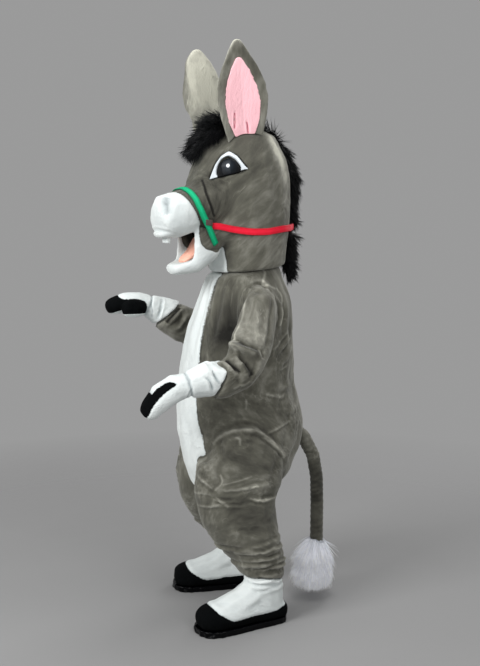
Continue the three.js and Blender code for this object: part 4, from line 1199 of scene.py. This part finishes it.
# Painted light near the top of the tail and painted shade towards its lower end.
TAIL_PAINTED_LIGHT_AND_SHADE = [(0, -300, 700, 60, 0.08), (0, -370, 520, 100, -0.14), (0, -370, 360, 100, -0.16)]
brushed(tail, soft_marks(TAIL_PAINTED_LIGHT_AND_SHADE))
all_grey(tail)
crests(tail, full=0.003)
worn(tail, "grey_plush", suit_plush, ["tail"])

# %% [markdown]
# ## Fur
# The mane, the forelock and the tail's tuft are long-pile fur. Fur is a surface with thousands of locks
# that repeat, so Geometry Nodes make it: points are spread over a core with a fixed seed, one thin curved
# lock stands on each, and an attribute of the core says which way it grows and how long it is. The core
# lies a little inside the solid, and the tips reach a little out of it.

# %% One lock, with three sides
LOCK_BEND = 1.3  # how far the tip leans, in widths


def one_lock():
    """A tapered lock of length 1 and width 1 along Z, bent towards X, with how far along each point is."""
    shape = bmesh.new()
    rings = []
    for t, wide in ((0.0, 0.8), (0.3, 1.0), (0.58, 0.72), (0.82, 0.36)):
        ring = []
        for corner in range(3):
            angle = corner * 2 * math.pi / 3
            ring.append(shape.verts.new((0.5 * wide * math.cos(angle) + LOCK_BEND * t * t,
                                         0.32 * wide * math.sin(angle), t)))
        rings.append(ring)
    tip = shape.verts.new((LOCK_BEND, 0, 1))
    for low, high in zip(rings, rings[1:]):
        for i in range(3):
            shape.faces.new((low[i], low[(i + 1) % 3], high[(i + 1) % 3], high[i]))
    for i in range(3):
        shape.faces.new((rings[-1][i], rings[-1][(i + 1) % 3], tip))
    shape.faces.new(rings[0][::-1])
    lock = bpy.data.objects.new("lock", mesh_from(shape, "lock"))
    mark(lock, "along", [v.co.z for v in lock.data.vertices])
    lock.data.shade_smooth()
    return lock


lock = one_lock()


# %% The fur recipe
class Recipe(Nodes):
    """A Geometry Nodes tree with named inputs. It is run on an object and leaves a plain mesh."""

    def __init__(self, name, **inputs):
        super().__init__(bpy.data.node_groups.new(name, "GeometryNodeTree"))
        face = self.tree.interface
        face.new_socket("Geometry", in_out="INPUT", socket_type="NodeSocketGeometry")
        self.keys = {key: face.new_socket(key, in_out="INPUT", socket_type=f"NodeSocket{kind}").identifier
                     for key, kind in inputs.items()}
        face.new_socket("Geometry", in_out="OUTPUT", socket_type="NodeSocketGeometry")
        self.entry = self.tree.nodes.new("NodeGroupInput")

    def given(self, name="Geometry"):
        return Socket(self, self.entry.outputs[name])

    def named(self, name, kind="FLOAT"):
        return self.node("GeometryNodeInputNamedAttribute", {"data_type": kind}, Name=name)

    def random(self, low, high, seed, kind="FLOAT"):
        """Inputs 2 and 3, and output 1, are the plain numbers; 0, 1 and output 0 are the vectors."""
        first, output = (2, 1) if kind == "FLOAT" else (0, 0)
        made = self.tree.nodes.new("FunctionNodeRandomValue")
        made.data_type = kind
        for key, value in ((first, low), (first + 1, high), ("Seed", seed)):
            self._plug(made.inputs[key], value)
        return Socket(self, made.outputs[output])

    def vector(self, x, y, z):
        return self.node("ShaderNodeCombineXYZ", {}, x, y, z)

    def ends_with(self, geometry, finish):
        real = self.node("GeometryNodeRealizeInstances", {}, geometry)
        painted = self.node("GeometryNodeSetMaterial", {}, Geometry=real, Material=finish)
        self._plug(self.tree.nodes.new("NodeGroupOutput").inputs[0], painted)

    def run(self, source, name, **values):
        modifier = source.modifiers.new("recipe", "NODES")
        modifier.node_group = self.tree
        for key, value in values.items():
            modifier[self.keys[key]] = value
        seen = source.evaluated_get(bpy.context.evaluated_depsgraph_get())
        mesh = bpy.data.meshes.new_from_object(seen)
        source.modifiers.clear()
        mesh.name = name
        return linked(name, mesh)


def fur_recipe(name, finish):
    recipe = Recipe(name, Density="Float", Width="Float", Stray="Float", Seed="Int", Lock="Object")
    seed = recipe.given("Seed")
    spread = recipe.node("GeometryNodeDistributePointsOnFaces", {}, Mesh=recipe.given(),
                         Density=recipe.given("Density"), Seed=seed)
    shade = recipe.random(0.0, 1.0, seed + 1)
    spread = recipe.node("GeometryNodeStoreNamedAttribute", {"data_type": "FLOAT"}, Geometry=spread,
                         Name="shade", Value=shade)
    stray = recipe.node("ShaderNodeVectorMath", {"operation": "SCALE"},
                        recipe.random((-1,) * 3, (1,) * 3, seed + 2, "FLOAT_VECTOR"),
                        Scale=recipe.given("Stray"))
    flow = recipe.named("flow", "FLOAT_VECTOR")
    way = recipe.node("ShaderNodeVectorMath", {"operation": "ADD"}, flow, stray)
    turn = recipe.node("FunctionNodeAlignRotationToVector", {"axis": "Z"}, Vector=way)
    roll = recipe.node("FunctionNodeAxisAngleToRotation", {}, (0, 0, 1), recipe.random(0.0, 6.283, seed + 3))
    turn = recipe.node("FunctionNodeRotateRotation", {"rotation_space": "LOCAL"}, turn, roll)
    long = recipe.named("long") * recipe.random(0.6, 1.1, seed + 4)
    wide = recipe.given("Width") * recipe.random(0.6, 1.2, seed + 5)
    info = recipe.node("GeometryNodeObjectInfo", {}, recipe.given("Lock"), output="Geometry")
    locks = recipe.node("GeometryNodeInstanceOnPoints", {}, Points=spread, Instance=info, Rotation=turn,
                        Scale=recipe.vector(wide, wide, long))
    recipe.ends_with(locks, finish)
    return recipe


# %% Fur finishes
def fur_finish(name, root, middle, tip, roughness, sheen, glow):
    """A little glow stands in for the light that comes through pale fibres."""
    finish = Finish(name, Roughness=roughness, Specular_IOR_Level=0.25, Sheen_Weight=sheen,
                    Sheen_Roughness=0.4, Emission_Strength=glow)
    tone = finish.attribute("along") * 0.55 + finish.attribute("shade") * 0.45
    finish.use(Base_Color=finish.ramp(tone, (0.0, root), (0.45, middle), (1.0, tip)))
    return finish.material


black_fur = fur_finish("black fur", "#010102", "#050607", "#15171a", roughness=0.5, sheen=0, glow=0)
# The white fur's roots, and the core under them, are painted grey as painted shade among the locks.
white_fur = fur_finish("white fur", "#7f8491", "#dfe2ec", "#ffffff", roughness=0.7, sheen=0.8, glow=0.11)

# %% Growing fur on a core
def grown(name, node, finish, slot, depth, way_at, long_at, width, count, seed, stands, stray,
          clings=0.8, lifts=0.25):
    """way_at gives the direction in which the fur falls at each point, long_at its length, and depth how
    far its roots lie inside the solid. Stands is how much the locks stand out of the core, and stray how
    much they part from each other. Fur that clings follows the core where it turns away below, and fur
    that lifts stands up where it would fall into the core. A lock has 22 triangles, so 9,000 locks are
    the most that a piece may have."""
    core = skin(f"{name}_core", [node], 0.005, 14)
    points, normals = points_of(core), normals_of(core)
    move_to(core, points - depth(points)[:, None] * normals)
    fall = way_at(points)
    lifted = (fall * normals).sum(1)
    inward = np.clip(-lifted / np.linalg.norm(fall, axis=1), 0, 1)
    fall -= (np.where(lifted > 0, clings, 0.8 + lifts * inward ** 2) * lifted)[:, None] * normals
    clump = uneven(points, 30, noise.noise_vector) * 2.2 + uneven(points, 75, noise.noise_vector) * 1.7
    mark(core, "flow", unit(fall) * (1 - stands) + normals * stands + clump * stray)
    mark(core, "long", long_at(points))
    mark(core, "along", np.zeros(len(points)))
    mark(core, "shade", np.zeros(len(points)))
    area = sum(p.area for p in core.data.polygons)
    fur = fur_recipe(f"{name} recipe", finish).run(
        core, name, Density=count / area, Width=width, Stray=stray, Seed=seed, Lock=lock)
    one_patch_each(fur, points.mean(0))
    worn(core, slot, finish)
    worn(fur, slot, finish, [node])


def one_patch_each(fur, middle):
    """A map for baking: each lock has a small patch of its own, near the patches of its neighbours."""
    corners = len(lock.data.vertices)
    points = points_of(fur).reshape(-1, corners, 3)
    roots = points[:, :3].mean(1) - middle
    across = np.arctan2(roots[:, 1], roots[:, 0]) / (2 * math.pi) + 0.5
    up = (roots[:, 2] - roots[:, 2].min()) / np.ptp(roots[:, 2])
    place = np.stack([across, up], 1) * 0.99
    own = np.array([(0.003 * (i % 3) / 2, 0.003 * v.co.z) for i, v in enumerate(lock.data.vertices)])
    flat = (place[:, None] + own[None]).reshape(-1, 2)
    ends = np.empty(len(fur.data.loops), int)
    fur.data.loops.foreach_get("vertex_index", ends)
    layer = fur.data.uv_layers.new(name="OFBake")
    layer.data.foreach_set("uv", flat[ends].astype(np.float32).ravel())


# %% [markdown]
# The mane falls down the back of the head and a little to both sides. The forelock is combed forward from
# between the ears. The tuft hangs from the tail's end and opens like a brush.

# %% Mane, forelock and tuft
def away_from_middle(points, place, down):
    """Level directions out from an upright line, with so much of a downward one."""
    out = points - np.array(place)
    out[:, 2] = 0
    out = unit(out)
    out[:, 2] = -down
    return out


def near_the_crown(points):
    return rising(points[:, 2], 1.97, 0.08)


def above_the_brow(points):
    return rising(points[:, 2], 2.06, 0.03)


def mane_way(points):
    way = away_from_middle(points, head_spot(0, -190, 1700), 1.3)
    way[:, 2] += 1.5 * near_the_crown(points)
    return way


def mane_long(points):
    return 0.062 + 0.042 * near_the_crown(points)


def forelock_way(points):
    crown = np.array(head_spot(0, 20, 2100))
    out = points - crown
    out[:, 2] = np.minimum(out[:, 2], 0) - 0.05 + 0.11 * above_the_brow(points)
    return unit(out)


def forelock_long(points):
    return 0.068 + 0.020 * above_the_brow(points)


def tuft_way(points):
    return away_from_middle(points, spot(0, -370, 200), 3.4)


def tuft_long(points):
    return np.clip(points[:, 2] - 0.036, 0.030, 0.100)


def evenly(depth):
    return lambda points: np.full(len(points), depth)


def tuft_depth(points):
    return 0.006 + 0.018 * np.clip((0.262 - points[:, 2]) / 0.06, 0, 1)


grown("mane_fur", "mane", black_fur, "black_fur", evenly(0.019), mane_way, mane_long,
      width=0.0036, count=8700, seed=11, stands=0.16, stray=0.13)
grown("forelock_fur", "forelock", black_fur, "black_fur", evenly(0.024), forelock_way, forelock_long,
      width=0.0034, count=8000, seed=12, stands=0.2, stray=0.19)
grown("tuft_fur", "tail_tuft", white_fur, "white_fur", tuft_depth, tuft_way, tuft_long,
      width=0.0044, count=8700, seed=13, stands=0.06, stray=0.05, clings=0.35, lifts=0.0)

# %% [markdown]
# ## Straps
# The bridle is two bands of soft ribbed webbing: a green one over the nose and a red one round the head.
# The solid straps say where they run. We average each solid strap into a middle line, see from its points
# which way it faces, and sweep a ribbed section along it.

# %% The middle line of a strap
STRAP_SAMPLES = 140  # places along a strap


def middle_of(node):
    """A line of points along the strap, and the way in which its outer side faces at each."""
    shell = skin(f"{node}_shell", [node], 0.003, 0)
    points = points_of(shell)
    bpy.data.objects.remove(shell)
    middle = points.mean(0)
    first, second, _ = own_ways(points)
    angles = np.arctan2((points - middle) @ second, (points - middle) @ first)
    gaps = np.sort(angles)
    widest = np.argmax(np.diff(np.append(gaps, gaps[0] + 2 * math.pi)))
    start = gaps[(widest + 1) % len(gaps)]
    angles = (angles - start) % (2 * math.pi)
    line = []
    for angle in np.linspace(0.0, angles.max(), STRAP_SAMPLES):
        away = angles - angle
        weight = np.sqrt(bell(away, 0.05))[:, None]
        design = np.stack([np.ones_like(away), away], 1) * weight
        line.append(np.linalg.lstsq(design, points * weight, rcond=None)[0][0])
    line = np.array(line)
    faces = []
    for place in line:
        flat = own_ways(points[np.linalg.norm(points - place, axis=1) < 0.018])[2]
        faces.append(flat * np.sign(flat @ (place - middle)))
    faces = np.array(faces)
    for _ in range(8):
        faces[1:-1] = 0.5 * faces[1:-1] + 0.25 * (faces[:-2] + faces[2:])
        line[1:-1] = 0.5 * line[1:-1] + 0.25 * (line[:-2] + line[2:])
    return line, unit(faces)


# %% Sweeping the webbing
STRAP_WIDE, STRAP_THICK = 0.028, 0.0058
SECTION = 28  # points round the band
RIBS = 7


def webbing(name, line, faces):
    ways = unit(np.gradient(line, axis=0))
    across = unit(np.cross(faces, ways))
    out = np.cross(ways, across)
    turn = np.linspace(0, 2 * math.pi, SECTION, endpoint=False)
    wide = np.sign(np.cos(turn)) * np.abs(np.cos(turn)) ** 0.35 * STRAP_WIDE / 2
    thick = np.sign(np.sin(turn)) * np.abs(np.sin(turn)) ** 0.55 * STRAP_THICK / 2
    thick *= 1 + 0.10 * np.cos(wide / STRAP_WIDE * RIBS * 2 * math.pi)
    rings = line[:, None] + across[:, None] * wide[:, None] + out[:, None] * thick[:, None]
    count = len(line)
    points = rings.reshape(-1, 3).tolist() + [line[0].tolist(), line[-1].tolist()]
    faces_made = []
    for i in range(count - 1):
        for j in range(SECTION):
            k = (j + 1) % SECTION
            this, after = i * SECTION, (i + 1) * SECTION
            faces_made.append((this + j, this + k, after + k, after + j))
    last = (count - 1) * SECTION
    for j in range(SECTION):
        k = (j + 1) % SECTION
        faces_made.append((j, count * SECTION, k))
        faces_made.append((last + k, count * SECTION + 1, last + j))
    mesh = bpy.data.meshes.new(name)
    mesh.from_pydata(points, [], faces_made)
    shape = bmesh.new()
    shape.from_mesh(mesh)
    bmesh.ops.recalc_face_normals(shape, faces=shape.faces)
    shape.to_mesh(mesh)
    shape.free()
    strap = linked(name, mesh)
    far = np.concatenate([[0], np.cumsum(np.linalg.norm(np.diff(line, axis=0), axis=1))])
    mark(strap, "along", np.append(np.repeat(far, SECTION), [far[0], far[-1]]))
    mark(strap, "across", np.append(np.tile(wide / STRAP_WIDE, count), [0, 0]))
    return strap, across, out


def webbing_finish(name, edge, body, painted_shine):
    finish = Finish(name, Roughness=0.6, Specular_IOR_Level=0.25)
    across, along = finish.attribute("across"), finish.attribute("along")
    ribs = finish.node("ShaderNodeMath", {"operation": "COSINE"}, across * (RIBS * 2 * math.pi))
    picks = finish.node("ShaderNodeMath", {"operation": "SINE"}, along * (2 * math.pi / 0.0016))
    # Painted highlight along the middle of the band and painted shade towards its edges.
    middle = 1 - across.size() * 2
    tone = middle * 0.75 + ribs * 0.09 + picks * 0.04 + finish.noise(finish.place(), 60.0) * 0.25
    finish.use(Base_Color=finish.ramp(tone, (0.05, edge), (0.4, body), (1.0, painted_shine)))
    finish.bump(ribs * 0.7 + picks * 0.3, 0.5, 0.0008)
    return finish.material


green_webbing = webbing_finish("green webbing", "#006143", "#00a46e", "#10c48c")
red_webbing = webbing_finish("red webbing", "#a80822", "#e8102f", "#fb1f3f")

# %% [markdown]
# A row of stitches holds both edges of each band. Stitches repeat along a path, so Geometry Nodes set
# them: the edge becomes a curve, is cut into even steps, and a thread lies on each step.

# %% The stitch recipe
def stitch_recipe(name, finish):
    recipe = Recipe(name, Spacing="Float", Thread="Float")
    curve = recipe.node("GeometryNodeMeshToCurve", {}, recipe.given())
    steps = recipe.node("GeometryNodeResampleCurve", {"mode": "LENGTH"}, Curve=curve,
                        Length=recipe.given("Spacing"))
    way = recipe.node("GeometryNodeInputTangent", {})
    turn = recipe.node("FunctionNodeAlignRotationToVector", {"axis": "Z"}, Vector=way)
    thread = recipe.node("GeometryNodeMeshUVSphere", {}, 8, 6, 1.0)
    size = recipe.vector(recipe.given("Thread"), recipe.given("Thread"), recipe.given("Spacing") * 0.34)
    stitches = recipe.node("GeometryNodeInstanceOnPoints", {}, Points=steps, Instance=thread, Rotation=turn,
                           Scale=size)
    recipe.ends_with(stitches, finish)
    return recipe


def stitched(name, line, across, out, slot, finish):
    rows = [line + sign * across * STRAP_WIDE * 0.40 + out * STRAP_THICK * 0.47 for sign in (1, -1)]
    mesh = bpy.data.meshes.new(f"{name} rows")
    count = len(line)
    mesh.from_pydata(np.concatenate(rows).tolist(),
                     [(i + k * count, i + 1 + k * count) for k in range(2) for i in range(count - 1)], [])
    path = linked(f"{name}_rows", mesh)
    made = stitch_recipe(f"{name} recipe", finish).run(path, name, Spacing=0.0042, Thread=0.00045)
    bpy.data.objects.remove(path)
    worn(made, slot, finish)


green_thread = speckled("green thread", 300.0, (0.3, "#027a55"), (0.7, "#10b383"), Roughness=0.6)
red_thread = speckled("red thread", 300.0, (0.3, "#c0142f"), (0.7, "#ff4a60"), Roughness=0.6)
for node, slot, band, thread in (
    ("noseband", "green_webbing", green_webbing, green_thread),
    ("head_strap", "red_webbing", red_webbing, red_thread),
):
    line, faces = middle_of(node)
    strap, across, out = webbing(f"{node}_webbing", line, faces)
    worn(strap, slot, band, [node])
    stitched(f"{node}_stitches", line, across, out, slot, thread.material)
    length = np.linalg.norm(np.diff(line, axis=0), axis=1).sum()
    print(node, "is", round(float(length * 1000)), "mm long")

# %% [markdown]
# ## Tabs
# A small felt tab covers the place where the two bands meet on each cheek.

# %% Tabs
TAB_NAP = [(0.0, "#2c2423"), (0.4, "#574946"), (0.75, "#7b6864"), (1.0, "#9a8781")]
tab_felt = plush("grey felt", TAB_NAP, streak=0.6, sheen=0.1, base=0.45)
for side in SIDES:
    tab = skin(f"strap_cover_{side}", [f"strap_tab_{side}"], 0.0014, 8)
    move_to(tab, averaged(points_of(tab), edges_of(tab), 50))
    plain_pile(tab)
    worn(tab, "grey_felt", tab_felt, [f"strap_tab_{side}"])

# %% [markdown]
# ## Floor and light
# A plain floor that fades into the studio's even backdrop, and five softboxes.

# %% Floor
FLOOR_ENDS = 3.6  # the floor is gone this far from the middle, in metres
FLOOR_FADES = 2.4  # and it fades over this length
backcloth = speckled("pale floor", 2.0, (0.0, "#8d8d8d"), (1.0, "#909090"), Roughness=0.9,
                     Specular_IOR_Level=0.1)
from_middle = backcloth.node("ShaderNodeVectorMath", {"operation": "LENGTH"}, backcloth.place(),
                             output="Value")
backcloth.use(Alpha=((FLOOR_ENDS - from_middle) / FLOOR_FADES).clamped())
disc = bmesh.new()
bmesh.ops.create_circle(disc, cap_ends=True, segments=64, radius=4.0)
floor = linked("floor", mesh_from(disc, "floor"))
floor.data.materials.append(backcloth.material)

# %% Light
world = bpy.data.worlds.new("studio")
scene.world = world
world.use_nodes = True
backdrop = world.node_tree.nodes["Background"]
backdrop.inputs["Color"].default_value = (1, 1, 1, 1)
backdrop.inputs["Strength"].default_value = 0.325


def softbox(name, place, aim, size, power):
    lamp = bpy.data.lights.new(name, "AREA")
    lamp.shape = "RECTANGLE"
    lamp.size, lamp.size_y = size
    lamp.energy = power
    obj = linked(name, lamp)
    obj.location = place
    obj.rotation_euler = (Vector(aim) - Vector(place)).to_track_quat("-Z", "Y").to_euler()


softbox("key", (1.9, -3.9, 3.2), (0, 0, 1.3), (1.8, 1.8), 178)
softbox("side", (4.2, 0.9, 3.2), (0, 0, 1.3), (1.6, 1.8), 54)
softbox("low", (3.4, -1.9, 0.7), (0, 0, 1.2), (1.6, 1.2), 18)
softbox("top", (0.5, 0.3, 4.6), (0, 0, 1.0), (2.4, 2.4), 72)
softbox("back", (-2.6, 2.8, 2.8), (0, 0, 1.2), (1.8, 2.2), 50)
